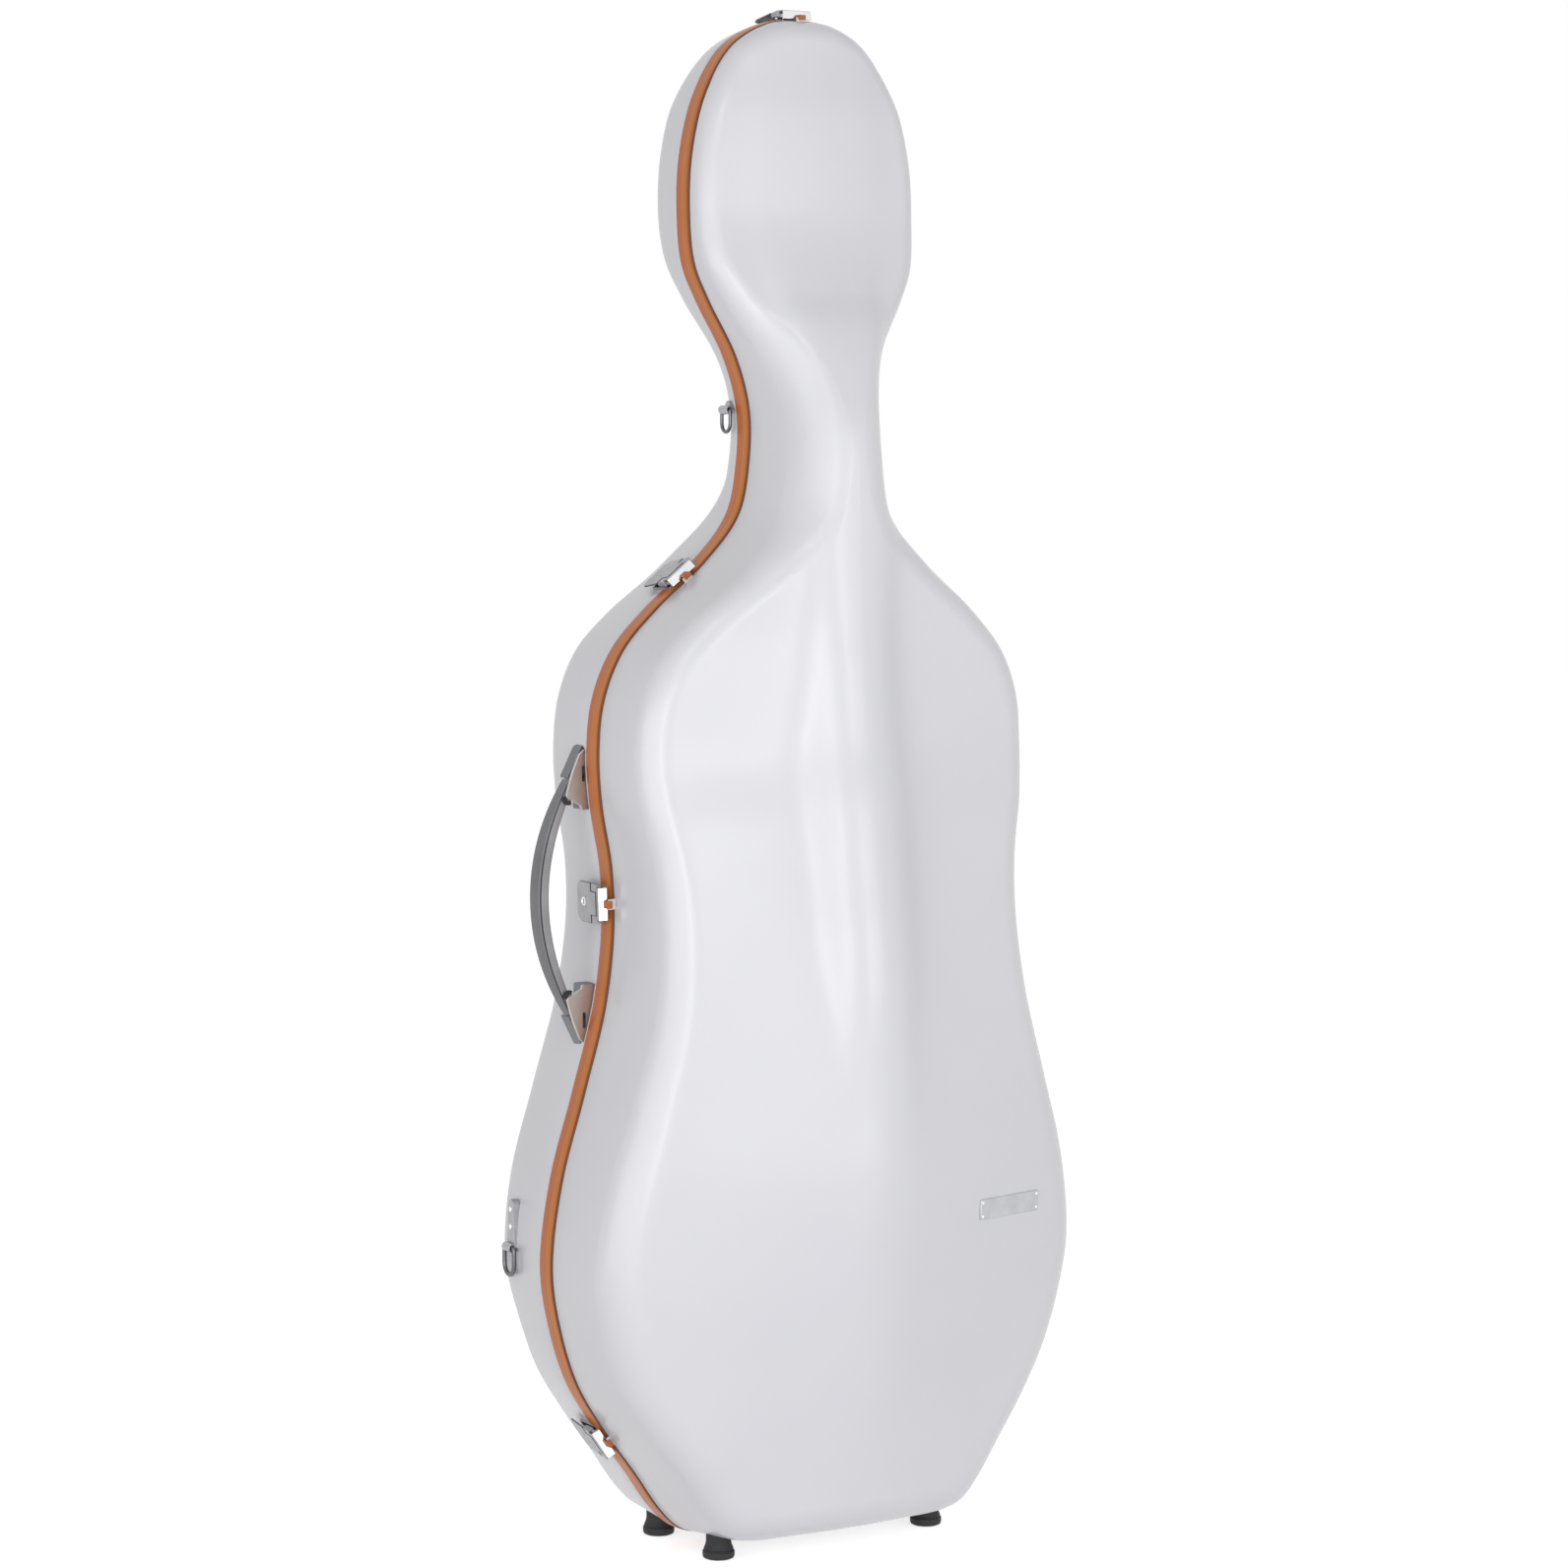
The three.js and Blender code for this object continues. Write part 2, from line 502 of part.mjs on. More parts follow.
// Draw latches. In a latch's frame x runs across the seam to the lid, y outward and z along the seam.
const LATCH = {
  plateWidth: 34, plateThickness: 1.4, plateBack: -40, plateBackLow: 2.4, plateFrontLow: 8.6, cornerRadius: 9,
  tongueWidth: 20, tongueFront: 1.5, shoulder: -9.8, flangeThickness: 2.2, pivotX: -1, pivotY: 5.2, lugRadius: 2.9,
  pinRadius: 1.5, pinLength: 20.6, stubX: -6, stubY: 5.5, stubRadius: 1.4, eyeRadius: 2.8, armThickness: 2.8,
  armGap: 0.5, armLow: 4.1, armHigh: 6.9, barWidth: 28, barBack: 4.9, barFront: 8.6, barLow: 2.4, barHigh: 9.6,
  clawWidth: 6.5, clawLow: 4.3, clawHigh: 5.7, clawFront: 15.6, lipBack: 13.9, lipLow: 1.4,
  keeperWidth: 9, keeperBack: 11.3, keeperFront: 13.4, keeperHigh: 3.7,
  baseWidth: 30, baseBack: -26, baseFront: 2.2, baseHigh: 2, baseBackHigh: 1.4, baseStep: -8, earThickness: 2,
  padHigh: 3.2, padFront: 1.2,
};
const LOCK = { x: -25.5, radius: 4, low: 2.8, high: 6.4, slotWidth: 1.2, slotLength: 5, slotDepth: 1.4 };

const plateSlope = (LATCH.plateFrontLow - LATCH.plateBackLow) / (LATCH.pivotX - LATCH.plateBack);
const plateLow = (x) => LATCH.plateBackLow + (x - LATCH.plateBack) * plateSlope;
const plateStrip = (from, to) => [[from, plateLow(from)], [to, plateLow(to)],
  [to, plateLow(to) + LATCH.plateThickness], [from, plateLow(from) + LATCH.plateThickness]];

// A lug from a high edge down to a round end about a point
function lugShape(x, y, radius, high) {
  const shape = new THREE.Shape();
  shape.moveTo(x + radius, high);
  shape.lineTo(x + radius, y);
  shape.absarc(x, y, radius, 0, -Math.PI, true);
  shape.lineTo(x - radius, high);
  shape.closePath();
  return shape;
}

function leverGeometry(withLock) {
  const { plateWidth, plateBack, cornerRadius: corner, shoulder, tongueWidth, tongueFront, flangeThickness } = LATCH;
  const plan = new THREE.Shape();
  const half = plateWidth / 2;
  plan.moveTo(shoulder, -half);
  plan.lineTo(shoulder, half);
  plan.absarc(plateBack + corner, half - corner, corner, Math.PI / 2, Math.PI);
  plan.absarc(plateBack + corner, corner - half, corner, Math.PI, Math.PI * 1.5);
  plan.closePath();
  const planSlab = slab(plan, OVERRUN * OVERRUN).rotateX(Math.PI / 2).translate(0, OVERRUN, 0);
  const plate = common(slab(plateStrip(plateBack, shoulder), plateWidth), planSlab);
  const tongue = slab(plateStrip(shoulder - LATCH.plateThickness, tongueFront), tongueWidth);
  const lugMiddle = (tongueWidth - flangeThickness) / 2;
  const lugs = [-1, 1].flatMap((sign) => [
    slab(lugShape(LATCH.pivotX, LATCH.pivotY, LATCH.lugRadius, plateLow(LATCH.pivotX)), flangeThickness, sign * lugMiddle),
    slab(lugShape(LATCH.stubX, LATCH.stubY, LATCH.stubRadius + LATCH.plateThickness, plateLow(LATCH.stubX)),
      flangeThickness, sign * lugMiddle),
    rod(LATCH.stubRadius, flangeThickness + LATCH.armGap + LATCH.armThickness, LATCH.stubX, LATCH.stubY,
      sign * (tongueWidth / 2 + (LATCH.armGap + LATCH.armThickness - flangeThickness) / 2)),
  ]);
  const bored = cut(joined(plate, tongue, ...lugs),
    rod(LATCH.pinRadius + RUNNING_CLEARANCE, plateWidth, LATCH.pivotX, LATCH.pivotY));
  if (!withLock) return bored;
  const hole = new THREE.CylinderGeometry(LOCK.radius + CLEARANCE, LOCK.radius + CLEARANCE, LOCK.high * 2, ROUND_SIDES);
  return cut(bored, hole.translate(LOCK.x, LOCK.high, 0));
}

function hookGeometry() {
  const { tongueWidth, armGap, armThickness, stubX, stubY, eyeRadius, armLow, armHigh, barBack, barFront } = LATCH;
  const armMiddle = tongueWidth / 2 + armGap + armThickness / 2;
  const arms = [-1, 1].flatMap((sign) => [
    slab([[stubX, armLow], [barFront, armLow], [barFront, armHigh], [stubX, armHigh]], armThickness, sign * armMiddle),
    rod(eyeRadius, armThickness, stubX, stubY, sign * armMiddle, ROUND_SIDES),
  ]);
  const bar = slab([[barBack, LATCH.barLow], [barFront, LATCH.barLow], [barFront, LATCH.barHigh],
    [barBack, LATCH.barHigh]], LATCH.barWidth);
  const claw = slab([[barBack, LATCH.clawLow], [LATCH.lipBack, LATCH.clawLow], [LATCH.lipBack, LATCH.lipLow],
    [LATCH.clawFront, LATCH.lipLow], [LATCH.clawFront, LATCH.clawHigh], [barBack, LATCH.clawHigh]], LATCH.clawWidth);
  return cut(joined(bar, claw, ...arms),
    rod(LATCH.stubRadius + RUNNING_CLEARANCE, LATCH.plateWidth, stubX, stubY));
}

function latchBaseGeometry(frame) {
  const { baseBack, baseFront, baseHigh, baseBackHigh, baseStep, earThickness, flangeThickness, tongueWidth } = LATCH;
  const plate = slab([[baseBack, -OVERRUN], [baseFront, -OVERRUN], [baseFront, baseHigh], [baseStep, baseHigh],
    [baseBack, baseBackHigh]], LATCH.baseWidth);
  const earMiddle = tongueWidth / 2 - flangeThickness - RUNNING_CLEARANCE - earThickness / 2;
  const ears = [-1, 1].map((sign) => {
    const ear = slab(lugShape(LATCH.pivotX, -LATCH.pivotY, LATCH.lugRadius, 0), earThickness, sign * earMiddle);
    return ear.rotateX(Math.PI);
  });
  const pad = slab([[baseStep, -OVERRUN], [LATCH.padFront, -OVERRUN], [LATCH.padFront, LATCH.padHigh],
    [baseStep, LATCH.padHigh]], 2 * earMiddle + earThickness);
  const bored = cut(joined(plate, pad, ...ears),
    rod(LATCH.pinRadius + RUNNING_CLEARANCE, LATCH.plateWidth, LATCH.pivotX, LATCH.pivotY));
  return seated(bored, frame);
}

function keeperGeometry(frame) {
  const { keeperBack, keeperFront, keeperHigh, keeperWidth } = LATCH;
  return seated(slab([[keeperBack, -OVERRUN], [keeperFront, -OVERRUN], [keeperFront, keeperHigh],
    [keeperBack, keeperHigh]], keeperWidth), frame);
}

function lockGeometry() {
  const height = LOCK.high - LOCK.low;
  const barrel = new THREE.CylinderGeometry(LOCK.radius, LOCK.radius, height, ROUND_SIDES);
  const slot = new THREE.BoxGeometry(LOCK.slotWidth, LOCK.slotDepth * 2, LOCK.slotLength);
  return cut(barrel.translate(LOCK.x, LOCK.low + height / 2, 0), slot.translate(LOCK.x, LOCK.high, 0));
}

const TOWARD_LID = new THREE.Vector3(0, -1, 0);
const UP = new THREE.Vector3(0, 0, 1);
const LATCH_SHARES = [['shoulder', 0.634], ['waist', 0.424], ['lower', 0.071]];
const latchFrames = [['top', frameAt(new THREE.Vector3(0, 0, heightOfShare(1)), TOWARD_LID, UP)],
  ...LATCH_SHARES.map(([name, share]) => {
    const place = rimPlace(heightOfShare(share), -1);
    const origin = place.point.clone().addScaledVector(place.normal, seatRise(place, LATCH.baseWidth / 2));
    return [name, frameAt(origin, TOWARD_LID, place.normal)];
  })];

latchFrames.forEach(([name, frame]) => {
  const locked = name === 'waist';
  const pivot = new THREE.Vector3(LATCH.pivotX, LATCH.pivotY, 0);
  const stub = new THREE.Vector3(LATCH.stubX, LATCH.stubY, 0);
  add(`latch_base_${name}`, latchBaseGeometry(frame), steelFinish, frame);
  add(`latch_pin_${name}`, rod(LATCH.pinRadius, LATCH.pinLength, LATCH.pivotX, LATCH.pivotY), steelFinish, frame);
  add(`latch_lever_${name}`, leverGeometry(locked), leverFinish, frame, pivot);
  add(`latch_hook_${name}`, hookGeometry(), steelFinish, frame, stub);
  add(`latch_keeper_${name}`, keeperGeometry(frame), steelFinish, frame);
  if (locked) add('lock_cylinder', lockGeometry(), steelFinish, frame, new THREE.Vector3(LOCK.x, LOCK.high, 0));
});

// Side handle. Its pins lie on one upright line outside the wall of the back shell.
const HANDLE = {
  share: 0.4276, span: 204, lowerClear: 6.8, upperClear: 11, axisBack: 22, bracketLength: 28, bracketWidth: 20,
  lipHigh: 5, farHigh: 8.5, footLength: 27, footHigh: -8.5, cheekCorner: 17, cheekHigh: 8.5,
  lugThickness: 3.2, wallThickness: 2.6, pinRadius: 2.2, pinDepth: 7, barrelRadius: 5, barrelLength: 10,
  gripWidth: 16, gripThickness: 11, gripCorner: 3, endWidth: 11, endThickness: 7.5, bulge: 29, arcSteps: 16,
  slotLength: 14, slotWidth: 3, slotAlong: 4, slotDeep: -8.8, depthShare: 0.2,
};
const handleMiddle = heightOfShare(HANDLE.share);
// The axis clears the case's outline at the far ends of the two brackets
const handleReach = HANDLE.span / 2 + HANDLE.bracketLength;
const handleOut = Math.max(rimPlace(handleMiddle - handleReach, 1).point.x + HANDLE.lowerClear,
  rimPlace(handleMiddle + handleReach, 1).point.x + HANDLE.upperClear);

// In a bracket's frame x runs away from the grip, y outward from the wall, and the pin's axis is its x axis. The front
// cheek stands towards the lid and stops the grip there.
function bracketGeometry(frame, front) {
  const { bracketLength, bracketWidth, lipHigh, farHigh, footLength, footHigh, lugThickness, wallThickness } = HANDLE;
  const deep = -handleOut * HANDLE.depthShare;
  const body = slab([[0, deep], [0, lipHigh], [lugThickness, lipHigh], [bracketLength, -farHigh],
    [bracketLength, deep]], bracketWidth);
  const foot = slab([[-footLength, deep], [-footLength, footHigh], [lugThickness, footHigh], [lugThickness, deep]],
    bracketWidth);
  const cheekMiddle = (front * (bracketWidth - wallThickness)) / 2;
  const cheek = slab([[-footLength, deep], [-footLength, footHigh], [-HANDLE.cheekCorner, HANDLE.cheekHigh],
    [lugThickness, lipHigh], [bracketLength, -farHigh], [bracketLength, deep]], wallThickness, cheekMiddle);
  const pocket = slab([[lugThickness, deep - OVERRUN], [lugThickness, lipHigh - wallThickness],
    [bracketLength - wallThickness, -farHigh - wallThickness], [bracketLength - wallThickness, deep - OVERRUN]],
    bracketWidth - 2 * wallThickness);
  const bore = rod(HANDLE.pinRadius + RUNNING_CLEARANCE, lugThickness * 4).rotateY(Math.PI / 2);
  const slot = slab(roundedRectangle(HANDLE.slotLength, HANDLE.slotWidth, HANDLE.slotWidth / 2 - MERGE_DISTANCE),
    2 * wallThickness, cheekMiddle).translate(HANDLE.slotAlong, HANDLE.slotDeep, 0);
  return seated(cut(joined(body, foot, cheek), pocket, bore, slot), frame);
}

function handlePinGeometry() {
  const { lugThickness, pinRadius, pinDepth } = HANDLE;
  return rod(pinRadius, pinDepth + lugThickness).rotateY(Math.PI / 2).translate((lugThickness - pinDepth) / 2, 0, 0);
}

// The grip, with its middle at the origin, z along it and y outward. It is thinner and narrower at its ends.
function gripGeometry() {
  const { span, barrelLength, barrelRadius, pinRadius, pinDepth, gripWidth, gripThickness, bulge, arcSteps } = HANDLE;
  const reach = span / 2 - RUNNING_CLEARANCE;
  const arcReach = reach - barrelLength / 4;
  const rings = [];
  for (let i = 0; i <= arcSteps; i += 1) {
    const t = (2 * i) / arcSteps - 1;
    const slope = Math.atan2(-2 * bulge * t, arcReach);
    const taper = Math.abs(t) ** 3;
    const section = roundedRectangle(gripWidth + (HANDLE.endWidth - gripWidth) * taper,
      gripThickness + (HANDLE.endThickness - gripThickness) * taper, HANDLE.gripCorner).getPoints(1).slice(1);
    rings.push(section.map((p) => new THREE.Vector3(p.x, bulge * (1 - t * t) + p.y * Math.cos(slope),
      t * arcReach - p.y * Math.sin(slope))));
  }
  const capOf = (ring) => ring.slice(2).map((p, k) => [ring[0], ring[k + 1], p]);
  const arc = closedGeometry([...sheetTriangles(rings), ...turned(capOf(rings[0])), ...capOf(rings.at(-1))]);
  const barrels = [-1, 1].map((sign) => rod(barrelRadius, barrelLength, 0, 0, sign * (reach - barrelLength / 2), ROUND_SIDES));
  const bores = [-1, 1].map((sign) => rod(pinRadius + RUNNING_CLEARANCE, 2 * (pinDepth + RUNNING_CLEARANCE), 0, 0,
    sign * (reach + RUNNING_CLEARANCE)));
  return cut(joined(arc, ...barrels), ...bores);
}

const handleAxis = new THREE.Vector3(-handleOut, HANDLE.axisBack, handleMiddle);
const OUTWARD_LEFT = new THREE.Vector3(-1, 0, 0);
[[1, 'upper'], [-1, 'lower']].forEach(([sign, name]) => {
  const origin = handleAxis.clone().addScaledVector(UP, (sign * HANDLE.span) / 2);
  const frame = frameAt(origin, UP.clone().multiplyScalar(sign), OUTWARD_LEFT);
  add(`${name}_handle_bracket`, bracketGeometry(frame, sign), steelFinish, frame);
  add(`${name}_handle_pin`, handlePinGeometry(), steelFinish, frame);
});
const gripFrame = frameAt(handleAxis, OUTWARD_LEFT.clone().cross(UP), OUTWARD_LEFT);
add('handle_grip', gripGeometry(), gripFinish, gripFrame);

// Hinges on the right. Their common axis touches the upper and the lower bout.
const HINGE = {
  axisOut: 6, barrelRadius: 4.4, pinRadius: 2.2, leafThickness: 2.6, leafReach: 34, knuckle: 16, knuckleGap: 0.4,
  leafWidth: 47, pinHead: 3.4, pinHeadThickness: 1.6,
};
// Each bout that the hinges' line touches, from one height share to another
const HINGE_BOUTS = [['upper', 0.44, 0.62], ['lower', 0.1, 0.34]];
const hingeAxisY = -SEAL_WIDTH / 2 - LID_GAP;
const TOUCH_PASSES = 4;

// The two places on the right where one straight line touches the upper and the lower bout
function hingeLine() {
  const bouts = HINGE_BOUTS.map(([, low, high]) => FINE_OUTLINE.filter((p) => p.x > 0
    && shareOfHeight(p.y) > low && shareOfHeight(p.y) < high));
  const out = new THREE.Vector2(1, 0);
  let touched = [];
  for (let pass = 0; pass < TOUCH_PASSES; pass += 1) {
    touched = bouts.map((bout) => bout.reduce((best, p) => (p.dot(out) > best.dot(out) ? p : best)));
    const along = touched[0].clone().sub(touched[1]).normalize();
    out.set(along.y, -along.x);
  }
  return touched.map((point) => {
    const onLine = point.clone().addScaledVector(out, HINGE.axisOut + SEAL_PROUD);
    const origin = new THREE.Vector3(onLine.x, hingeAxisY, onLine.y);
    return frameAt(origin, TOWARD_LID, new THREE.Vector3(out.x, 0, out.y));
  });
}

const hingeFrames = hingeLine();
// In a hinge's frame the axis is its z axis, x runs to the lid and y outward
function leafGeometry(frame, sign, knuckles, reach) {
  const { barrelRadius, leafThickness, leafWidth, pinRadius, knuckle, knuckleGap, axisOut } = HINGE;
  const deep = -HINGE.leafReach;
  const high = -axisOut + leafThickness;
  const low = -leafThickness / 2;
  const leaf = slab([[0, deep], [sign * reach, deep], [sign * reach, high], [sign * barrelRadius, high], [0, low]],
    leafWidth);
  const arm = knuckles.map((middle) => slab([[0, low], [sign * barrelRadius, high - leafThickness],
    [sign * (barrelRadius + leafThickness), high], [0, barrelRadius]], knuckle - knuckleGap, middle));
  const barrels = knuckles.map((middle) => rod(barrelRadius, knuckle - knuckleGap, 0, 0, middle, ROUND_SIDES));
  const clear = [-1, 0, 1].filter((n) => !knuckles.includes(n * knuckle)).map((n) => rod(barrelRadius + knuckleGap,
    knuckle + knuckleGap, 0, 0, n * knuckle, ROUND_SIDES));
  const block = slab([[-sign * barrelRadius * 2, deep - OVERRUN], [sign * CLEARANCE, deep - OVERRUN],
    [sign * CLEARANCE, -barrelRadius], [-sign * barrelRadius * 2, -barrelRadius]], leafWidth + OVERRUN);
  const whole = cut(joined(leaf, ...arm, ...barrels), ...clear, block,
    rod(pinRadius + RUNNING_CLEARANCE, leafWidth + OVERRUN));
  return seated(whole, frame);
}

hingeFrames.forEach((frame, i) => {
  const name = HINGE_BOUTS[i][0];
  const { knuckle, pinRadius, pinHead, pinHeadThickness } = HINGE;
  add(`hinge_back_leaf_${name}`, leafGeometry(frame, -1, [-knuckle, knuckle], HINGE.leafReach), steelFinish, frame);
  add(`hinge_lid_leaf_${name}`, leafGeometry(frame, 1, [0], HINGE.leafReach - SEAL_WIDTH / 2), steelFinish, frame);
  const length = 3 * knuckle;
  const pin = joined(rod(pinRadius, length + CLEARANCE), rod(pinHead, pinHeadThickness, 0, 0,
    (length + pinHeadThickness) / 2 + CLEARANCE / 2));
  add(`hinge_pin_${name}`, pin, steelFinish, frame);
});

// Strap anchors: a plate with an eye on the back shell's wall, and a D-shaped ring in the eye
const ANCHOR = {
  topWidth: 9, bottomWidth: 15, plateThickness: 2.2, eyeRadius: 4, eyeBore: 2.5, eyeOut: 3.6,
  wire: 2, ringWidth: 20, ringLength: 24, ringSides: 6, ringSteps: 6,
};
const LOWER_ANCHOR = { share: 0.194, back: 66, plateLength: 42 };
const UPPER_ANCHOR = { share: 0.746, back: 19, plateLength: 8 };

// In an anchor's frame the eye's axis is z, x points from the eye along the plate and y outward
function anchorPlateGeometry(frame, plateLength) {
  const { topWidth, bottomWidth, plateThickness, eyeRadius, eyeBore, eyeOut } = ANCHOR;
  const low = -eyeOut;
  const plan = slab([[0, -bottomWidth / 2], [plateLength, -topWidth / 2], [plateLength, topWidth / 2],
    [0, bottomWidth / 2]], OVERRUN * OVERRUN).rotateX(Math.PI / 2);
  const profile = slab([[0, -OVERRUN * 3], [plateLength, -OVERRUN * 3], [plateLength, low + plateThickness],
    [eyeRadius, low + plateThickness], [0, eyeRadius]], bottomWidth);
  const eye = rod(eyeRadius, bottomWidth, 0, 0, 0, ROUND_SIDES);
  return seated(cut(joined(common(profile, plan.translate(0, low, 0)), eye), rod(eyeBore, bottomWidth + OVERRUN)), frame);
}

// A closed wire along a flat D-shaped path: its straight side is the frame's z axis, its bow points along -x
function ringGeometry() {
  const { wire, ringWidth, ringLength, ringSides, ringSteps } = ANCHOR;
  const half = ringWidth / 2;
  const path = [new THREE.Vector2(0, -half), new THREE.Vector2(0, 0), new THREE.Vector2(0, half)];
  for (let i = 0; i <= ringSteps; i += 1) {
    const angle = (Math.PI * i) / ringSteps;
    path.push(new THREE.Vector2(-(ringLength - half) - Math.sin(angle) * half, Math.cos(angle) * half));
  }
  const rings = path.map((p, i) => {
    const before = path[(i + path.length - 1) % path.length];
    const after = path[(i + 1) % path.length];
    const along = after.clone().sub(before).normalize();
    const out = new THREE.Vector3(along.y, 0, -along.x);
    return Array.from({ length: ringSides }, (_, k) => {
      const angle = (2 * Math.PI * k) / ringSides;
      const place = new THREE.Vector3(p.x, 0, p.y).addScaledVector(out, Math.cos(angle) * wire);
      place.y += Math.sin(angle) * wire;
      return place;
    });
  });
  return closedGeometry(rings.flatMap((ring, i) => bandTriangles(ring, rings[(i + 1) % rings.length])));
}

function addAnchor(name, frame, plateLength) {
  add(`${name}_strap_plate`, anchorPlateGeometry(frame, plateLength), steelFinish, frame);
  add(`${name}_strap_ring`, ringGeometry(), steelFinish, frame);
}

[[-1, 'left'], [1, 'right']].forEach(([sign, hand]) => {
  [['lower', LOWER_ANCHOR], ['upper', UPPER_ANCHOR]].forEach(([level, { share, back, plateLength }]) => {
    const place = rimPlace(heightOfShare(share), sign);
    const tilted = place.normal.clone().multiplyScalar(Math.cos(WALL_DRAFT));
    tilted.y = Math.sin(WALL_DRAFT);
    const inward = (back - BACK.rim) * Math.tan(WALL_DRAFT) - seatRise(place, plateLength);
    const foot = place.point.clone().addScaledVector(place.normal, -inward)
      .addScaledVector(tilted, ANCHOR.eyeOut + CLEARANCE);
    foot.y += back;
    addAnchor(`${level}_${hand}`, frameAt(foot, UP, tilted), plateLength);
  });
});

// Bare name plate on the lid
const NAME_PLATE = { x: 150, heightShare: 0.214, length: 77, width: 18, thickness: 1.2, corner: 1.5, probe: 10 };

function namePlateFrame() {
  const { x, heightShare, probe } = NAME_PLATE;
  const z = heightOfShare(heightShare);
  const onLid = (px, pz) => new THREE.Vector3(px, LID.rim - surfaceDepth(LID, new THREE.Vector2(px, pz), 0), pz);
  const across = onLid(x + probe, z).sub(onLid(x - probe, z));
  const along = onLid(x, z + probe).sub(onLid(x, z - probe));
  return frameAt(onLid(x, z), across, along);
}

const plateFrame = namePlateFrame();
const plateBlank = slab(roundedRectangle(NAME_PLATE.length, NAME_PLATE.width, NAME_PLATE.corner),
  NAME_PLATE.thickness + OVERRUN, NAME_PLATE.thickness / 2 - OVERRUN / 2 + CLEARANCE);
add('name_plate', seated(plateBlank, plateFrame), plateFinish, plateFrame);

// Cushions: a crowned pad whose sides draw in between its corners. Width along x, length along z, top towards -y.
function cushionGeometry(width, length, height, crown, draw) {
  const columns = CUSHION_CELLS;
  const rows = CUSHION_CELLS;
  const top = [];
  const bottom = [];
  for (let j = 0; j <= rows; j += 1) {
    for (let i = 0; i <= columns; i += 1) {
      const u = (2 * i) / columns - 1;
      const v = (2 * j) / rows - 1;
      const x = (u * width) / 2 - u * draw * (1 - v * v);
      const z = (v * length) / 2 - v * draw * (1 - u * u);
      const bulge = crown * (1 - u * u) * (1 - v * v);
      const edge = Math.max(Math.abs(u), Math.abs(v)) > 1 - MERGE_DISTANCE ? draw : 0;
      top.push(new THREE.Vector3(x, -height + edge - bulge, z));
      bottom.push(new THREE.Vector3(x, 0, z));
    }
  }
  const at = (list, i, j) => list[j * (columns + 1) + i];
  const faces = [];
  for (let j = 0; j < rows; j += 1) {
    for (let i = 0; i < columns; i += 1) {
      const cell = (list) => [at(list, i, j), at(list, i + 1, j), at(list, i + 1, j + 1), at(list, i, j + 1)];
      const [a, b, c, d] = cell(top);
      faces.push([a, b, c], [a, c, d]);
      const [e, f, g, h] = cell(bottom);
      faces.push([e, g, f], [e, h, g]);
    }
  }
  const loop = [];
  for (let i = 0; i < columns; i += 1) loop.push([i, 0]);
  for (let j = 0; j < rows; j += 1) loop.push([columns, j]);
  for (let i = columns; i > 0; i -= 1) loop.push([i, rows]);
  for (let j = rows; j > 0; j -= 1) loop.push([0, j]);
  const rim = (list) => loop.map(([i, j]) => at(list, i, j));
  faces.push(...bandTriangles(rim(bottom), rim(top)));
  return closedGeometry(faces);
}

const CUSHIONS = {
  bottom: { width: 190, length: 46, back: 70, height: 62, crown: 12, draw: 5, share: 0.038 },
  shoulder: { width: 84, length: 76, height: 30, crown: 12, draw: 5, x: 104, share: 0.54 },
  lower: { width: 96, length: 96, height: 30, crown: 12, draw: 5, x: 128, share: 0.22 },
};
const liningBack = (x, z) => BACK.rim + surfaceDepth(BACK, new THREE.Vector2(x, z), LINING_DEPTH);

[['shoulder', CUSHIONS.shoulder], ['lower', CUSHIONS.lower]].forEach(([name, pad]) => {
  [[-1, 'left'], [1, 'right']].forEach(([sign, hand]) => {
    const z = heightOfShare(pad.share);
    const back = liningBack(pad.x, z);
    const blank = cushionGeometry(pad.width, pad.length, pad.height + OVERRUN, pad.crown, pad.draw)
      .translate(sign * pad.x, back + OVERRUN, z);
    add(`${name}_cushion_${hand}`, inside(blank, BACK_SPACE), cushionFinish);
  });
});
const bottomPad = CUSHIONS.bottom;
const bottomBlank = cushionGeometry(bottomPad.width, bottomPad.height + OVERRUN, bottomPad.length, bottomPad.crown,
  bottomPad.draw).rotateX(-Math.PI / 2).translate(0, bottomPad.back, heightOfShare(bottomPad.share) - bottomPad.length);
add('bottom_cushion', inside(bottomBlank, BACK_SPACE), cushionFinish);

// Neck cradle: a padded block with a round notch, and the strap that closes over it
const CRADLE = { share: 0.667, width: 96, length: 42, notchRadius: 23, notchBack: 24, front: 12, strapWidth: 26,
  strapThickness: 2.4, strapBow: 14 };
const cradleHeight = heightOfShare(CRADLE.share);
const cradleShape = new THREE.Shape();
const cradleBack = BACK_DEPTH;
cradleShape.moveTo(-CRADLE.width / 2, -cradleBack);
cradleShape.lineTo(CRADLE.width / 2, -cradleBack);
cradleShape.lineTo(CRADLE.width / 2, -CRADLE.front);
cradleShape.lineTo(CRADLE.notchRadius, -CRADLE.front);
cradleShape.absarc(0, -CRADLE.notchBack - CRADLE.front, CRADLE.notchRadius, 0, -Math.PI, true);
cradleShape.lineTo(-CRADLE.notchRadius, -CRADLE.front);
cradleShape.lineTo(-CRADLE.width / 2, -CRADLE.front);
cradleShape.closePath();
const cradleBlank = slab(cradleShape, CRADLE.length);
add('neck_cradle', inside(cradleBlank.applyMatrix4(new THREE.Matrix4().makeBasis(new THREE.Vector3(1, 0, 0),
  new THREE.Vector3(0, -1, 0), new THREE.Vector3(0, 0, -1)).setPosition(0, 0, cradleHeight)), BACK_SPACE), foamFinish);

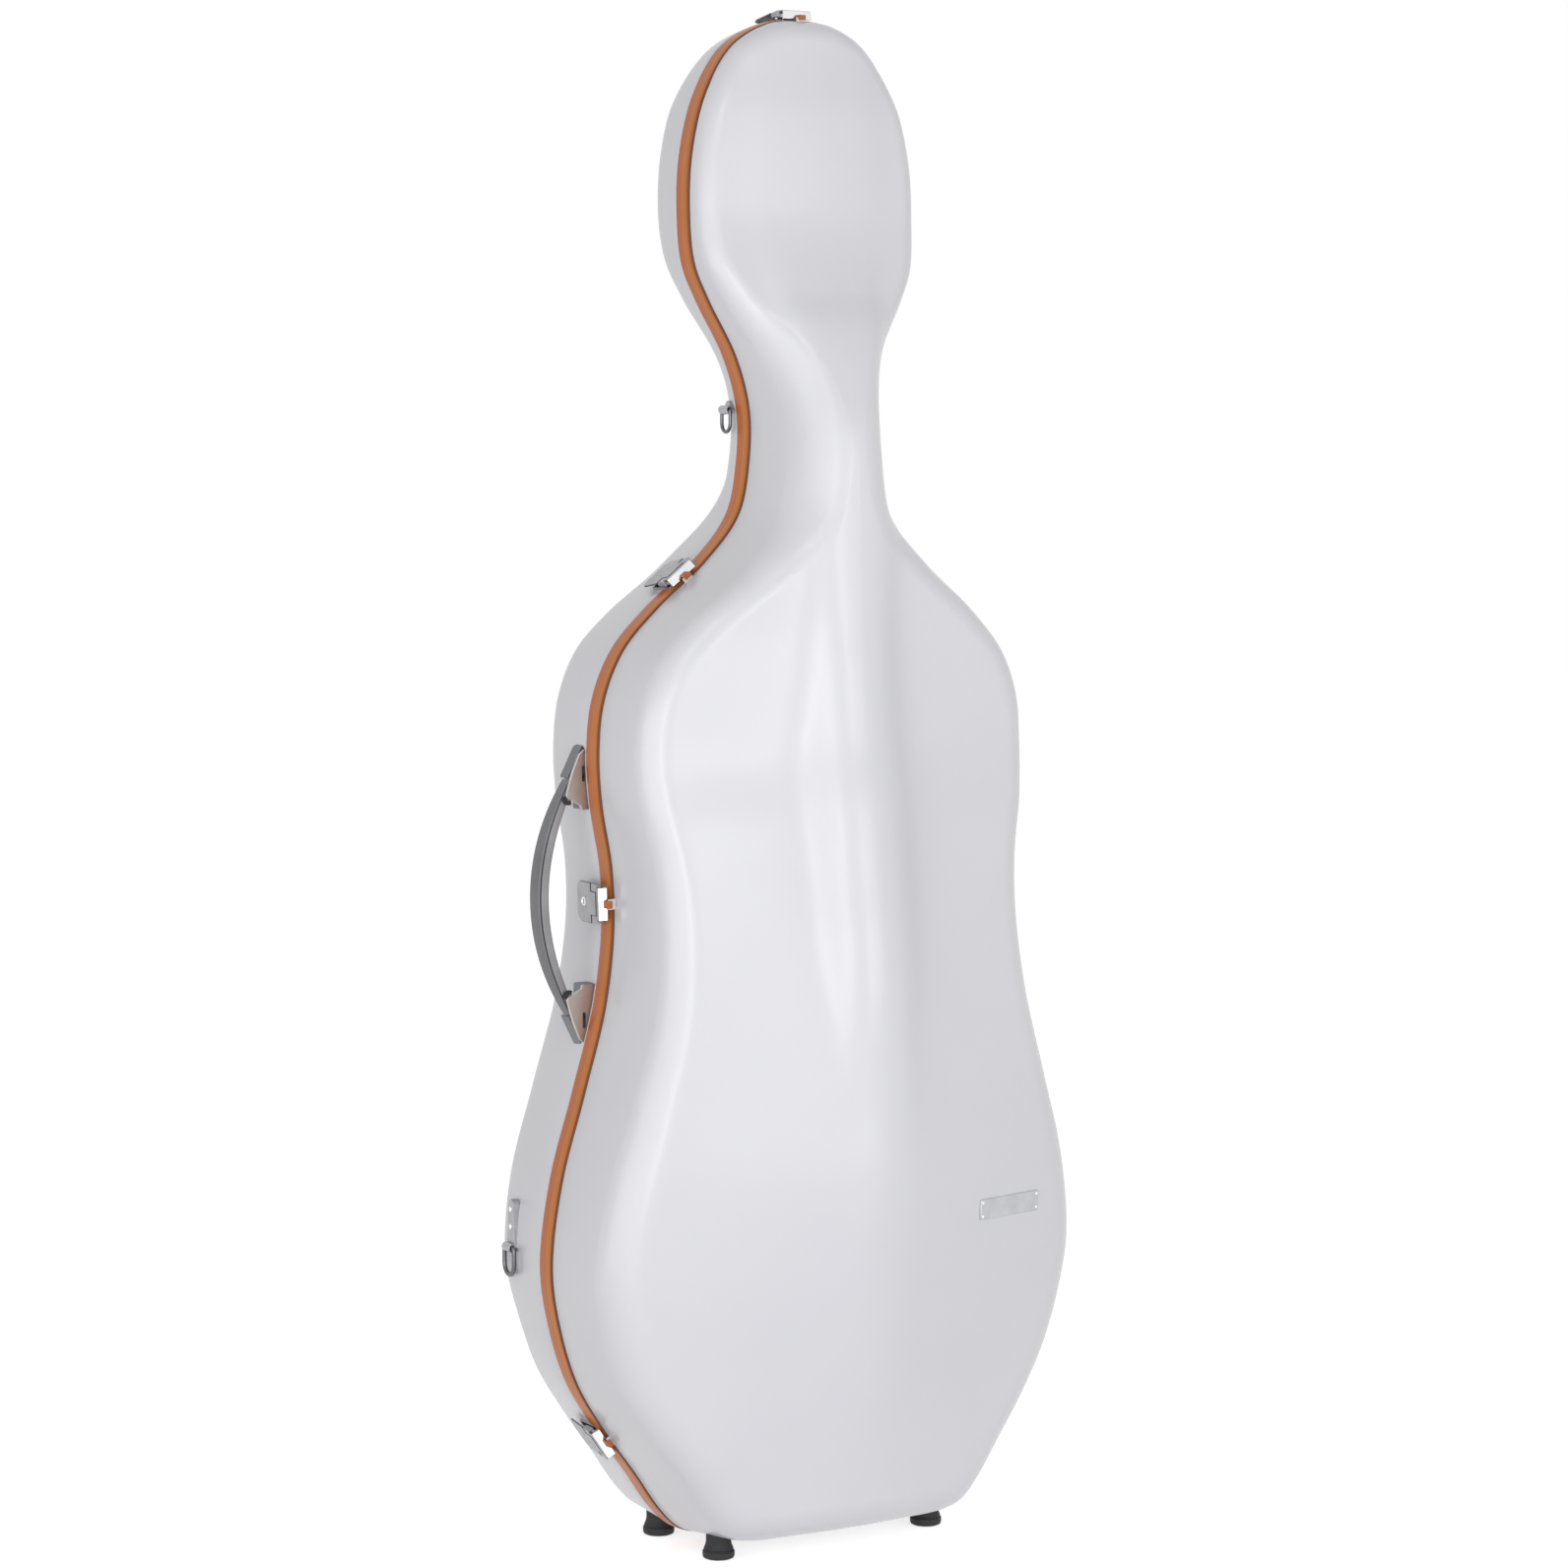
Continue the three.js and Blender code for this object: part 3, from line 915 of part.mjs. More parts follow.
function strapGeometry() {
  const { width, strapThickness, strapBow, strapWidth } = CRADLE;
  const half = width / 2 - OVERRUN;
  const shape = new THREE.Shape();
  shape.moveTo(-half, 0);
  shape.quadraticCurveTo(0, 2 * strapBow, half, 0);
  shape.lineTo(half, strapThickness);
  shape.quadraticCurveTo(0, 2 * (strapBow + strapThickness), -half, strapThickness);
  shape.closePath();
  return slab(shape, strapWidth);
}
add('neck_strap', strapGeometry(), cushionFinish, frameAt(new THREE.Vector3(0, CRADLE.front - CLEARANCE, cradleHeight),
  new THREE.Vector3(1, 0, 0), TOWARD_LID));

// Bow rest in the lid, with two turning clips over its grooves
const BOWS = { share: 0.45, width: 120, length: 34, thickness: 26, grooveRadius: 9, grooveX: 38, pinRadius: 2.5,
  pinLength: 9, pinOut: 3.2, clipLength: 44, clipWidth: 15, clipThickness: 4, clipX: 14, headRadius: 4.4 };
const bowHeight = heightOfShare(BOWS.share);
const liningFront = LID.rim - surfaceDepth(LID, new THREE.Vector2(BOWS.width / 2, bowHeight), LINING_DEPTH);
const bowFront = liningFront + BOWS.thickness;

function bowRestGeometry() {
  const { width, length, thickness, grooveRadius, grooveX, clipX, pinRadius, pinLength } = BOWS;
  const blank = new THREE.BoxGeometry(width, 3 * thickness, length).translate(0, bowFront - 1.5 * thickness, bowHeight);
  const grooves = [-1, 1].map((sign) => rod(grooveRadius, length + OVERRUN, sign * grooveX, bowFront, bowHeight, ROUND_SIDES));
  const bores = [-1, 1].map((sign) => rod(pinRadius + RUNNING_CLEARANCE, 2 * pinLength).rotateX(Math.PI / 2)
    .translate(sign * clipX, bowFront, bowHeight));
  return inside(cut(blank, ...grooves, ...bores), LID_SPACE);
}
add('bow_rest', bowRestGeometry(), foamFinish);

function bowClipGeometry(sign) {
  const { clipLength, clipWidth, clipThickness, pinRadius, pinLength, headRadius } = BOWS;
  const bar = slab(roundedRectangle(clipLength, clipWidth, clipWidth / 2 - MERGE_DISTANCE), clipThickness)
    .rotateX(Math.PI / 2).translate((sign * (clipLength - clipWidth)) / 2, CLEARANCE + clipThickness / 2, 0);
  const pin = new THREE.CylinderGeometry(pinRadius, pinRadius, pinLength + clipThickness, PIN_SIDES)
    .translate(0, (clipThickness - pinLength) / 2 + CLEARANCE + clipThickness / 4, 0);
  const head = new THREE.CylinderGeometry(headRadius, headRadius, clipThickness / 2, PIN_SIDES)
    .translate(0, CLEARANCE + clipThickness * 1.2, 0);
  return joined(bar, pin, head);
}
[[-1, 'left'], [1, 'right']].forEach(([sign, hand]) => {
  const frame = new THREE.Matrix4().setPosition(sign * BOWS.clipX, bowFront, bowHeight);
  add(`bow_clip_${hand}`, bowClipGeometry(sign), leverFinish, frame);
});

// Move the case so that the origin is the middle of the floor area under it
group.updateMatrixWorld(true);
const extent = new THREE.Box3().setFromObject(group, true);
const middle = extent.getCenter(new THREE.Vector3());
group.position.set(-middle.x, -middle.y, -extent.min.z);

export default group;
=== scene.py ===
"""A cello hard case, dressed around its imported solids. Metres, +Z up, lid towards -Y, latches on -X."""
import math

import bmesh
import bpy
import numpy as np
from mathutils import Matrix, Vector
from mathutils.bvhtree import BVHTree
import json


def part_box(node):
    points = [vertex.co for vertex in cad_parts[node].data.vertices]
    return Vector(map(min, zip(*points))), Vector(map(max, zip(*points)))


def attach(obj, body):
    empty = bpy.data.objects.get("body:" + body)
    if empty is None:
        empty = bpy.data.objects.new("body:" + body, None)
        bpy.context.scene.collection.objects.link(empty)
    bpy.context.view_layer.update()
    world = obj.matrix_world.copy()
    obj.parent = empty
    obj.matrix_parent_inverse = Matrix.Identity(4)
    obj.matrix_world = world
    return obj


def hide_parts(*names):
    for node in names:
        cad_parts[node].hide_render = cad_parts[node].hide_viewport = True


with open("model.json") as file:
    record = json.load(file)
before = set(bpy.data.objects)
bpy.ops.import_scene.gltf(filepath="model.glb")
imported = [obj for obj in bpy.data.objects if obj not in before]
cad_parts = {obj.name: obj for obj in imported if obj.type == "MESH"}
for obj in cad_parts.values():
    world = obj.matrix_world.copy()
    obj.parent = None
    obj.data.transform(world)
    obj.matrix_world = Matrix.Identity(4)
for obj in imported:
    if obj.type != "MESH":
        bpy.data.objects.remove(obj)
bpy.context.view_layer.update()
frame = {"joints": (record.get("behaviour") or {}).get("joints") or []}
JOINTS = {joint["name"]: joint for joint in frame["joints"]}
MM = 0.001

# The seam frame: x = 0 and y = 0 in the middle of the seal, z from the floor, in millimetres
SEAL_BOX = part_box("rim_seal")
SHIFT = np.array([(SEAL_BOX[0][i] + SEAL_BOX[1][i]) / 2 / MM for i in (0, 1)] + [0.0])
SEAM = Matrix.Translation(Vector(SHIFT) * MM) @ Matrix.Scale(MM, 4)

# Sizes of the case in millimetres
SHELL_LENGTH = 1312
FOOT_HEIGHT = 13
HEAD, NECK, UPPER, WAIST, LOWER, BOTTOM = 224, 104, 407, 378, 502, 206
LID_DEPTH = 138
BACK_DEPTH = 115
WALL = 3
CORNER_RADIUS = 28
LEAST_CORNER_RADIUS = 4
LINING_THICKNESS = 6
SEAL_WIDTH = 21
LID_GAP = 0.4
CLEARANCE = 0.3
DRAFT = math.radians(5)
ROOF_TILT = 0.96
SPINE_HALF_WIDTH = 32
SPINE_FLANK_SLOPE = 0.85
SPINE_SOFTNESS = 12
ROOF_SOFTNESS = 40
RIDGE_BLEND = 10
LEAST_LEAN = 0.5
LONGEST_WAY = 0.9
WALL_ROWS = 3
OUTER_ROWS, INNER_ROWS = (12, 34), (5, 20)
OUTLINE_STEPS, OUTLINE_POINTS = 24, 560

OUTLINE_SHARES = [
    [HEAD, 0, 1], [HEAD, 0.263, 0.9981], [HEAD, 0.607, 0.9825], [HEAD, 0.854, 0.9502], [HEAD, 0.978, 0.9111],
    [HEAD, 1.001, 0.8729], [HEAD, 0.958, 0.8395], [HEAD, 0.83, 0.8159], [NECK, 1.257, 0.7795],
    [NECK, 1.001, 0.746], [NECK, 1.001, 0.7124], [NECK, 1.203, 0.6767], [UPPER, 0.473, 0.646],
    [UPPER, 0.714, 0.6152], [UPPER, 0.88, 0.5883], [UPPER, 0.973, 0.5565], [UPPER, 0.999, 0.5225],
    [UPPER, 0.985, 0.4886], [WAIST, 1.009, 0.4465], [WAIST, 1, 0.4083], [WAIST, 1.043, 0.3581],
    [LOWER, 0.871, 0.3006], [LOWER, 0.96, 0.2439], [LOWER, 0.999, 0.1881], [LOWER, 0.97, 0.1495],
    [LOWER, 0.903, 0.1107], [LOWER, 0.796, 0.0776], [LOWER, 0.675, 0.0464], [BOTTOM, 1.402, 0.0197],
    [BOTTOM, 1.216, 0.0059], [BOTTOM, 1, 0.0008], [BOTTOM, 0.5, 0], [BOTTOM, 0, 0],
]
MIDDLE_SHARES = [
    [0, 0.0873], [0.0208, 0.1026], [0.1026, 0.1505], [0.1881, 0.2044], [0.3006, 0.3056], [0.4063, 0.4063],
    [0.4886, 0.4886], [0.5565, 0.5465], [0.6152, 0.5963], [0.6757, 0.6678], [0.745, 0.746], [0.814, 0.8238],
    [0.8729, 0.8651], [1, 0.9317],
]
SPINE_WIDTH_SHARES = [
    [0.3006, 0.95], [0.3601, 0.81], [0.5615, 0.81], [0.6142, 0.9], [0.6648, 1], [0.7677, 1], [0.8002, 1.19],
    [0.8258, 1.47], [0.8768, 1.9],
]
LID = {
    "toward": -1, "depth": LID_DEPTH, "rim": -SEAL_WIDTH / 2 - LID_GAP,
    "body": [
        [0, 0.762], [0.0638, 0.841], [0.126, 0.92], [0.1861, 0.978], [0.2439, 0.997], [0.3006, 0.955],
        [0.3581, 0.884], [0.4154, 0.794], [0.4735, 0.694], [0.5315, 0.613], [0.5883, 0.613], [0.646, 0.641],
        [0.7045, 0.571], [0.7627, 0.443], [0.8199, 0.295], [0.8768, 0.196], [0.9366, 0.186], [1, 0.098],
    ],
    "spine": [
        [0.0638, 0.581], [0.1861, 0.799], [0.2439, 0.897], [0.3006, 0.965], [0.3601, 0.994], [0.3993, 0.973],
        [0.4365, 0.922], [0.4876, 0.857], [0.5315, 0.782], [0.5754, 0.741], [0.6142, 0.711], [0.6648, 0.7],
        [0.7045, 0.699], [0.7272, 0.689], [0.7677, 0.59], [0.8002, 0.472], [0.8258, 0.314], [0.8768, 0.137],
    ],
    "slope": [
        [0, 0.12], [0.0638, 0.16], [0.126, 0.22], [0.2439, 0.24], [0.3006, 0.22], [0.3581, 0.18],
        [0.4154, 0.14], [0.4735, 0.1], [0.5315, 0.08], [0.5883, 0.06], [0.646, 0.05], [0.8768, 0.06],
        [1, 0.1],
    ],
    "corner": [
        [0, 0.93], [0.0638, 1], [0.2439, 1], [0.3006, 0.93], [0.5883, 0.79], [0.6142, 0.79], [0.646, 1],
        [0.6817, 1.36], [0.7272, 1.36], [0.7627, 1.2], [0.8199, 0.71], [0.8768, 0.57], [1, 0.57],
    ],
}
BACK = {
    "toward": 1, "depth": BACK_DEPTH, "rim": SEAL_WIDTH / 2 + CLEARANCE,
    "body": [
        [0, 0.831], [0.0638, 0.815], [0.126, 0.839], [0.1861, 0.952], [0.2439, 0.995], [0.3006, 0.984],
        [0.3581, 0.948], [0.4154, 0.902], [0.4735, 0.876], [0.5315, 0.869], [0.5883, 0.878], [0.646, 0.739],
        [0.7045, 0.315], [0.7627, 0.265], [0.8199, 0.412], [0.8768, 0.548], [0.9366, 0.567], [1, 0.42],
    ],
    "spine": [[0, -1], [1, -1]],
    "slope": [[0, 0.08], [0.646, 0.08], [1, 0.1]],
    "corner": [[0, 0.93], [0.0638, 0.79], [0.5883, 0.79], [0.646, 0.93], [0.7568, 0.71], [1, 0.93]],
}


def value_at(rows, places):
    """Values of a table at places, on a smooth curve that never overshoots its rows."""
    xs = np.array([row[0] for row in rows], float)
    ys = np.array([row[1] for row in rows], float)
    secants = np.diff(ys) / np.diff(xs)
    tangents = np.zeros(len(xs))
    for i in range(1, len(xs) - 1):
        before, after = secants[i - 1], secants[i]
        if before * after > 0:
            tangents[i] = 2 * before * after / (before + after)
    x = np.clip(np.asarray(places, float), xs[0], xs[-1])
    i = np.clip(np.searchsorted(xs, x, side="right") - 1, 0, len(xs) - 2)
    span = xs[i + 1] - xs[i]
    t = (x - xs[i]) / span
    rise = t * t * (3 - 2 * t)
    start = t * (1 - t) ** 2 * span * tangents[i]
    end = t * t * (t - 1) * span * tangents[i + 1]
    return ys[i] + (ys[i + 1] - ys[i]) * rise + start + end


def share_of(z):
    return (z - FOOT_HEIGHT) / SHELL_LENGTH


def height_of(share):
    return FOOT_HEIGHT + share * SHELL_LENGTH


def fine_outline(steps):
    """The rim's closed outline in the seam plane, from the top down the -X side."""
    half = np.array([[-width / 2 * share, height_of(height)] for width, share, height in OUTLINE_SHARES])
    other = half[1:-1][::-1] * [-1, 1]
    loop = np.vstack([half, other])
    count = len(loop)
    points = []
    for i in range(count):
        p0, p1, p2, p3 = (loop[(i + k) % count] for k in (-1, 0, 1, 2))
        d0, d1, d2 = (np.sqrt(np.linalg.norm(b - a)) for a, b in ((p0, p1), (p1, p2), (p2, p3)))
        m1 = d1 * ((p1 - p0) / d0 - (p2 - p0) / (d0 + d1) + (p2 - p1) / d1)
        m2 = d1 * ((p2 - p1) / d1 - (p3 - p1) / (d1 + d2) + (p3 - p2) / d2)
        bend = 3 * (p2 - p1) - 2 * m1 - m2
        curl = 2 * (p1 - p2) + m1 + m2
        for k in range(steps):
            t = k / steps
            points.append(p1 + m1 * t + bend * t * t + curl * t ** 3)
    return np.array(points)


def even_loop(loop, count):
    """The same closed loop with points at even lengths, mirrored exactly about x = 0."""
    half = loop[:len(loop) // 2 + 1]
    lengths = np.concatenate([[0], np.cumsum(np.linalg.norm(np.diff(half, axis=0), axis=1))])
    wanted = np.linspace(0, lengths[-1], count // 2 + 1)
    side = np.column_stack([np.interp(wanted, lengths, half[:, k]) for k in (0, 1)])
    side[[0, -1], 0] = 0
    return np.vstack([side, side[1:-1][::-1] * [-1, 1]])


OUTLINE = even_loop(fine_outline(OUTLINE_STEPS), OUTLINE_POINTS)


def outward_normals(loop):
    along = np.roll(loop, -1, axis=0) - np.roll(loop, 1, axis=0)
    along /= np.linalg.norm(along, axis=1)[:, None]
    return np.column_stack([along[:, 1], -along[:, 0]])


NORMALS = outward_normals(OUTLINE)


def edge_distance(points):
    starts = OUTLINE
    spans = np.roll(OUTLINE, -1, axis=0) - starts
    squares = (spans ** 2).sum(1)
    best = np.full(len(points), np.inf)
    for a, ab, square in zip(starts, spans, squares):
        away = points - a
        t = np.clip((away @ ab) / square, 0, 1)
        best = np.minimum(best, ((away - t[:, None] * ab) ** 2).sum(1))
    return np.sqrt(best)


def soft_step(value, softness):
    return (value + np.hypot(value, softness)) / 2


def roof_depth(side, x, z):
    share = share_of(z)
    body = side["depth"] * value_at(side["body"], share)
    body = body - value_at(side["slope"], share) * (np.hypot(x, ROOF_SOFTNESS) - ROOF_SOFTNESS)
    flank = np.abs(x) - SPINE_HALF_WIDTH * value_at(SPINE_WIDTH_SHARES, share)
    fall = SPINE_FLANK_SLOPE * soft_step(flank, SPINE_SOFTNESS)
    spine = side["depth"] * value_at(side["spine"], share) - fall
    return body + soft_step(spine - body, RIDGE_BLEND) - RIDGE_BLEND / 4


def corner_radius(side, z, inset):
    return np.maximum(LEAST_CORNER_RADIUS, CORNER_RADIUS * value_at(side["corner"], share_of(z)) - inset)


def surface_depth(side, points, inset):
    """Depth from the rim of the surface that lies an inset below the outside."""
    edge = edge_distance(points) - inset
    roof = roof_depth(side, points[:, 0], points[:, 1]) - inset
    radius = corner_radius(side, points[:, 1], inset)
    s, c, q = math.sin(DRAFT), math.cos(DRAFT), ROOF_TILT
    wall = edge * c / s
    a = radius - edge * c
    b = radius - q * roof
    half = a * s + b * q
    square = s * s + q * q
    root = np.sqrt(np.maximum(0, half * half - square * (a * a + b * b - radius * radius)))
    depth = (root - half) / square
    depth = np.where(radius + s * roof - edge * c <= 0, roof, depth)
    return np.where(radius - q * (roof - wall) <= 0, wall, depth)


def sheet_rings(side, inset, rim_depth, fillet_rows, roof_rows):
    """Rings of points from the rim to the middle line, on the surface an inset below the outside."""
    heights = height_of(value_at(MIDDLE_SHARES, share_of(OUTLINE[:, 1])))
    ends = np.column_stack([np.zeros(len(OUTLINE)), heights])
    way = ends - OUTLINE
    length = np.linalg.norm(way, axis=1)
    way = way / length[:, None]
    lean = np.maximum(LEAST_LEAN, -(way * NORMALS).sum(1))

    def point_at(edge):
        return OUTLINE + way * np.minimum(edge / lean, length * LONGEST_WAY)[:, None]

    def place(points, depth):
        return np.column_stack([points[:, 0], side["rim"] + side["toward"] * depth, points[:, 1]])

    radius = corner_radius(side, OUTLINE[:, 1], inset)
    centre = radius
    for _ in range(3):
        probe = point_at(inset + centre)
        roof = roof_depth(side, probe[:, 0], probe[:, 1]) - inset
        centre = (radius + (roof - radius / ROOF_TILT) * math.sin(DRAFT)) / math.cos(DRAFT)
    low = rim_depth * math.tan(DRAFT)
    rings = [place(point_at(inset + low), np.full(len(OUTLINE), rim_depth))]
    first = centre - radius * math.cos(DRAFT)
    for k in range(1, WALL_ROWS):
        points = point_at(inset + low + (first - low) * k / WALL_ROWS)
        rings.append(place(points, surface_depth(side, points, inset)))
    for angle in np.linspace(DRAFT, math.pi / 2, fillet_rows):
        points = point_at(inset + centre - radius * math.cos(angle))
        rings.append(place(points, surface_depth(side, points, inset)))
    last = np.minimum((inset + centre) / lean, length * LONGEST_WAY) / length
    for k in range(1, roof_rows + 1):
        share = last + (1 - last) * k / roof_rows
        points = OUTLINE + way * (length * share)[:, None]
        rings.append(place(points, surface_depth(side, points, inset)))
    return rings


def on_lid(x, z):
    """A point of the lid's surface, in the seam frame."""
    depth = float(surface_depth(LID, np.array([[x, z]], float), 0)[0])
    return Vector((x, LID["rim"] + LID["toward"] * depth, z))


# Solids as lists of points and faces, in millimetres
def ring_solid(rings, ends="capped"):
    """A solid through rings of one count of points. Its ends are capped, joined to each other or open."""
    count = len(rings[0])
    points = [tuple(p) for ring in rings for p in ring]
    starts = [r * count for r in range(len(rings))]
    if ends == "joined":
        starts.append(0)
    faces = []
    for a, b in zip(starts, starts[1:]):
        for i in range(count):
            j = (i + 1) % count
            faces.append((a + i, a + j, b + j, b + i))
    if ends == "capped":
        faces.append(tuple(range(count))[::-1])
        faces.append(tuple(len(points) - count + i for i in range(count)))
    return points, faces


def prism(profile, low, high):
    """A flat outline in x and y, from low to high along z."""
    return ring_solid([[(x, y, low) for x, y in profile], [(x, y, high) for x, y in profile]])


def span(sign, near, far):
    """The low and the high end of a stretch on one side of zero."""
    return sorted((sign * near, sign * far))


def moved(part, matrix):
    points, faces = part
    return [tuple(matrix @ Vector(p)) for p in points], faces


def arc(cx, cy, radius, start, stop, count=8):
    angles = np.linspace(math.radians(start), math.radians(stop), count + 1)
    return [(cx + radius * math.cos(a), cy + radius * math.sin(a)) for a in angles]


def rounded(width, height, radius, cx=0.0, cy=0.0, count=6):
    x, y = width / 2 - radius, height / 2 - radius
    corners = ((x, y, 0), (-x, y, 90), (-x, -y, 180), (x, -y, 270))
    return [p for a, b, t in corners for p in arc(cx + a, cy + b, radius, t, t + 90, count)]


def lathe(profile, sides=40):
    """A profile of (radius, height) turned about the z axis."""
    turns = np.linspace(0, 2 * math.pi, sides, endpoint=False)
    return ring_solid([[(radius * math.cos(a), radius * math.sin(a), height) for a in turns]
                       for radius, height in profile])


def rod(radius, low, high, x=0.0, y=0.0, sides=24, edge=0.3):
    """A round rod along z with softened ends."""
    narrow = radius - edge
    part = lathe([(narrow, low), (radius, low + edge), (radius, high - edge), (narrow, high)], sides)
    return moved(part, Matrix.Translation((x, y, 0)))


def tube(path, radius, sides, closed=False):
    """A round wire along points."""
    points = [Vector(p) for p in path]
    count = len(points)
    rings = []
    side = None
    for i, p in enumerate(points):
        before = points[(i - 1) % count] if closed else points[max(i - 1, 0)]
        after = points[(i + 1) % count] if closed else points[min(i + 1, count - 1)]
        along = (after - before).normalized()
        if side is None:
            side = along.orthogonal().normalized()
        side = (side - along * side.dot(along)).normalized()
        up = along.cross(side)
        angles = [2 * math.pi * k / sides for k in range(sides)]
        rings.append([p + radius * (side * math.cos(a) + up * math.sin(a)) for a in angles])
    return ring_solid(rings, "joined" if closed else "capped")


AXIS_RADIUS = 0.02
TO_Y = Matrix.Rotation(math.radians(-90), 4, "X")
TO_X = Matrix.Rotation(math.radians(90), 4, "Y")


def screw(radius, height, dimple=True):
    """A low domed head on the z axis, with or without a dimple."""
    dome = [(1, 0.35), (0.86, 0.75), (0.6, 0.95), (0.3, 1)]
    profile = [(radius, -0.6)] + [(radius * across, height * up) for across, up in dome]
    profile += [(radius * 0.3, height - 0.5 * dimple), (AXIS_RADIUS, height - 0.7 * dimple)]
    return lathe(profile, 20)


def add_object(name, data):
    item = bpy.data.objects.new(name, data)
    bpy.context.scene.collection.objects.link(item)
    return item


def add_change(item, name, kind, **values):
    """Adds a modifier with its values."""
    change = item.modifiers.new(name, kind)
    for key, value in values.items():
        setattr(change, key, value)


def apply_changes(item):
    """Keeps the mesh that the modifiers make, with smooth faces."""
    depsgraph = bpy.context.evaluated_depsgraph_get()
    mesh = bpy.data.meshes.new_from_object(item.evaluated_get(depsgraph))
    item.modifiers.clear()
    item.data = mesh
    mesh.polygons.foreach_set("use_smooth", [True] * len(mesh.polygons))


def flat_faces(item):
    """Keeps large faces flat between their softened edges."""
    add_change(item, "flat_faces", "WEIGHTED_NORMAL", keep_sharp=True, weight=90)


BEVEL_ANGLE = math.radians(28)
CARVED_ANGLE = math.radians(30)


def mesh_object(name, parts, matrix, bevel=0.0, sharp=35, merge=0.0):
    """An object of the parts, whose millimetres the matrix takes to metres."""
    work = bmesh.new()
    for points, faces in parts:
        verts = [work.verts.new(p) for p in points]
        for face in faces:
            work.faces.new([verts[i] for i in face])
    if merge:
        bmesh.ops.remove_doubles(work, verts=work.verts[:], dist=merge)
    bmesh.ops.recalc_face_normals(work, faces=work.faces[:])
    if bevel:
        edges = [e for e in work.edges if e.is_manifold and e.calc_face_angle(0) > BEVEL_ANGLE]
        bmesh.ops.bevel(work, geom=edges, offset=bevel, segments=3, profile=0.6, affect="EDGES",
                        clamp_overlap=True)
    bmesh.ops.transform(work, matrix=matrix, verts=work.verts[:])
    if matrix.determinant() < 0:
        bmesh.ops.reverse_faces(work, faces=work.faces[:])
    mesh = bpy.data.meshes.new(name)
    work.to_mesh(mesh)
    work.free()
    mesh.polygons.foreach_set("use_smooth", [True] * len(mesh.polygons))
    mesh.set_sharp_from_angle(angle=math.radians(sharp))
    item = add_object(name, mesh)
    if bevel:
        flat_faces(item)
    return item


def carve(item, parts, matrix):
    """Takes a solid of the parts out of an object."""
    cutter = mesh_object("cutter", parts, matrix)
    add_change(item, "carve", "BOOLEAN", object=cutter, operation="DIFFERENCE", solver="EXACT")
    bpy.context.view_layer.update()
    apply_changes(item)
    item.data.set_sharp_from_angle(angle=CARVED_ANGLE)
    flat_faces(item)
    bpy.data.objects.remove(cutter)


def dress(item, body, slot, look, *nodes):
    """Gives a piece its body and material, and says which nodes it replaces. The slot is not used."""
    item.data.materials.clear()
    item.data.materials.append(look)
    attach(item, body)
    if nodes:
        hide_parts(*nodes)


def add_piece(name, parts, matrix, body, slot, look, *nodes, bevel=0.0, sharp=35, cutter=None):
    """Builds an object of the parts, takes the cutter's parts out of it and dresses it."""
    item = mesh_object(name, parts, matrix, bevel, sharp)
    if cutter:
        carve(item, *cutter)
    dress(item, body, slot, look, *nodes)


def axes_matrix(origin, x, y):
    """Takes millimetres in a frame to metres. The origin is in metres."""
    x = Vector(x).normalized()
    y = (Vector(y) - x * Vector(y).dot(x)).normalized()
    matrix = (Matrix((x, y, x.cross(y))).transposed() * MM).to_4x4()
    matrix.translation = origin
    return matrix


def seam_point(point):
    return (Vector(point) + Vector(SHIFT)) * MM


# Materials
def new_look(name, color, roughness, metallic=0.0, **sockets):
    """A material whose other sockets are given with _ for each space."""
    look = bpy.data.materials.new(name)
    look.use_nodes = True
    shader = look.node_tree.nodes["Principled BSDF"]
    shader.inputs["Base Color"].default_value = (*color, 1)
    shader.inputs["Roughness"].default_value = roughness
    shader.inputs["Metallic"].default_value = metallic
    for key, value in sockets.items():
        shader.inputs[key.replace("_", " ")].default_value = value
    look.diffuse_color = (*color, 1)
    return look


def node(look, kind, **values):
    """A node of a material or world, with values of its inputs and settings."""
    made = look.node_tree.nodes.new(kind)
    for key, value in values.items():
        if key.replace("_", " ") in made.inputs:
            made.inputs[key.replace("_", " ")].default_value = value
        else:
            setattr(made, key, value)
    return made


def link(look, start, stop):
    look.node_tree.links.new(start, stop)


def place_node(look, scale=(1, 1, 1)):
    """Object coordinates, in metres, stretched by a scale."""
    coordinates = node(look, "ShaderNodeTexCoord")
    mapping = node(look, "ShaderNodeMapping", Scale=scale)
    link(look, coordinates.outputs["Object"], mapping.inputs["Vector"])
    return mapping.outputs["Vector"]


def noise(look, vector, scale, detail=3.0, roughness=0.5):
    made = node(look, "ShaderNodeTexNoise", Scale=scale, Detail=detail, Roughness=roughness)
    link(look, vector, made.inputs["Vector"])
    return made.outputs["Fac"]


def ramp(look, factor, stops):
    made = node(look, "ShaderNodeValToRGB")
    elements = made.color_ramp.elements
    while len(elements) < len(stops):
        elements.new(1)
    for element, (place, color) in zip(elements, stops):
        element.position = place
        element.color = (*color, 1)
    link(look, factor, made.inputs["Fac"])
    return made.outputs["Color"]


def shaded(look, factor, color, *stops):
    """A colour times the shades that its stops give at their places of a factor."""
    return ramp(look, factor, [(place, tuple(shade * c for c in color)) for place, shade in stops])


def to_range(look, factor, low, high):
    made = node(look, "ShaderNodeMapRange", To_Min=low, To_Max=high)
    link(look, factor, made.inputs["Value"])
    return made.outputs["Result"]


def bump(look, height, strength, distance, base=None):
    made = node(look, "ShaderNodeBump", Strength=strength, Distance=distance)
    link(look, height, made.inputs["Height"])
    if base is not None:
        link(look, base, made.inputs["Normal"])
    return made.outputs["Normal"]


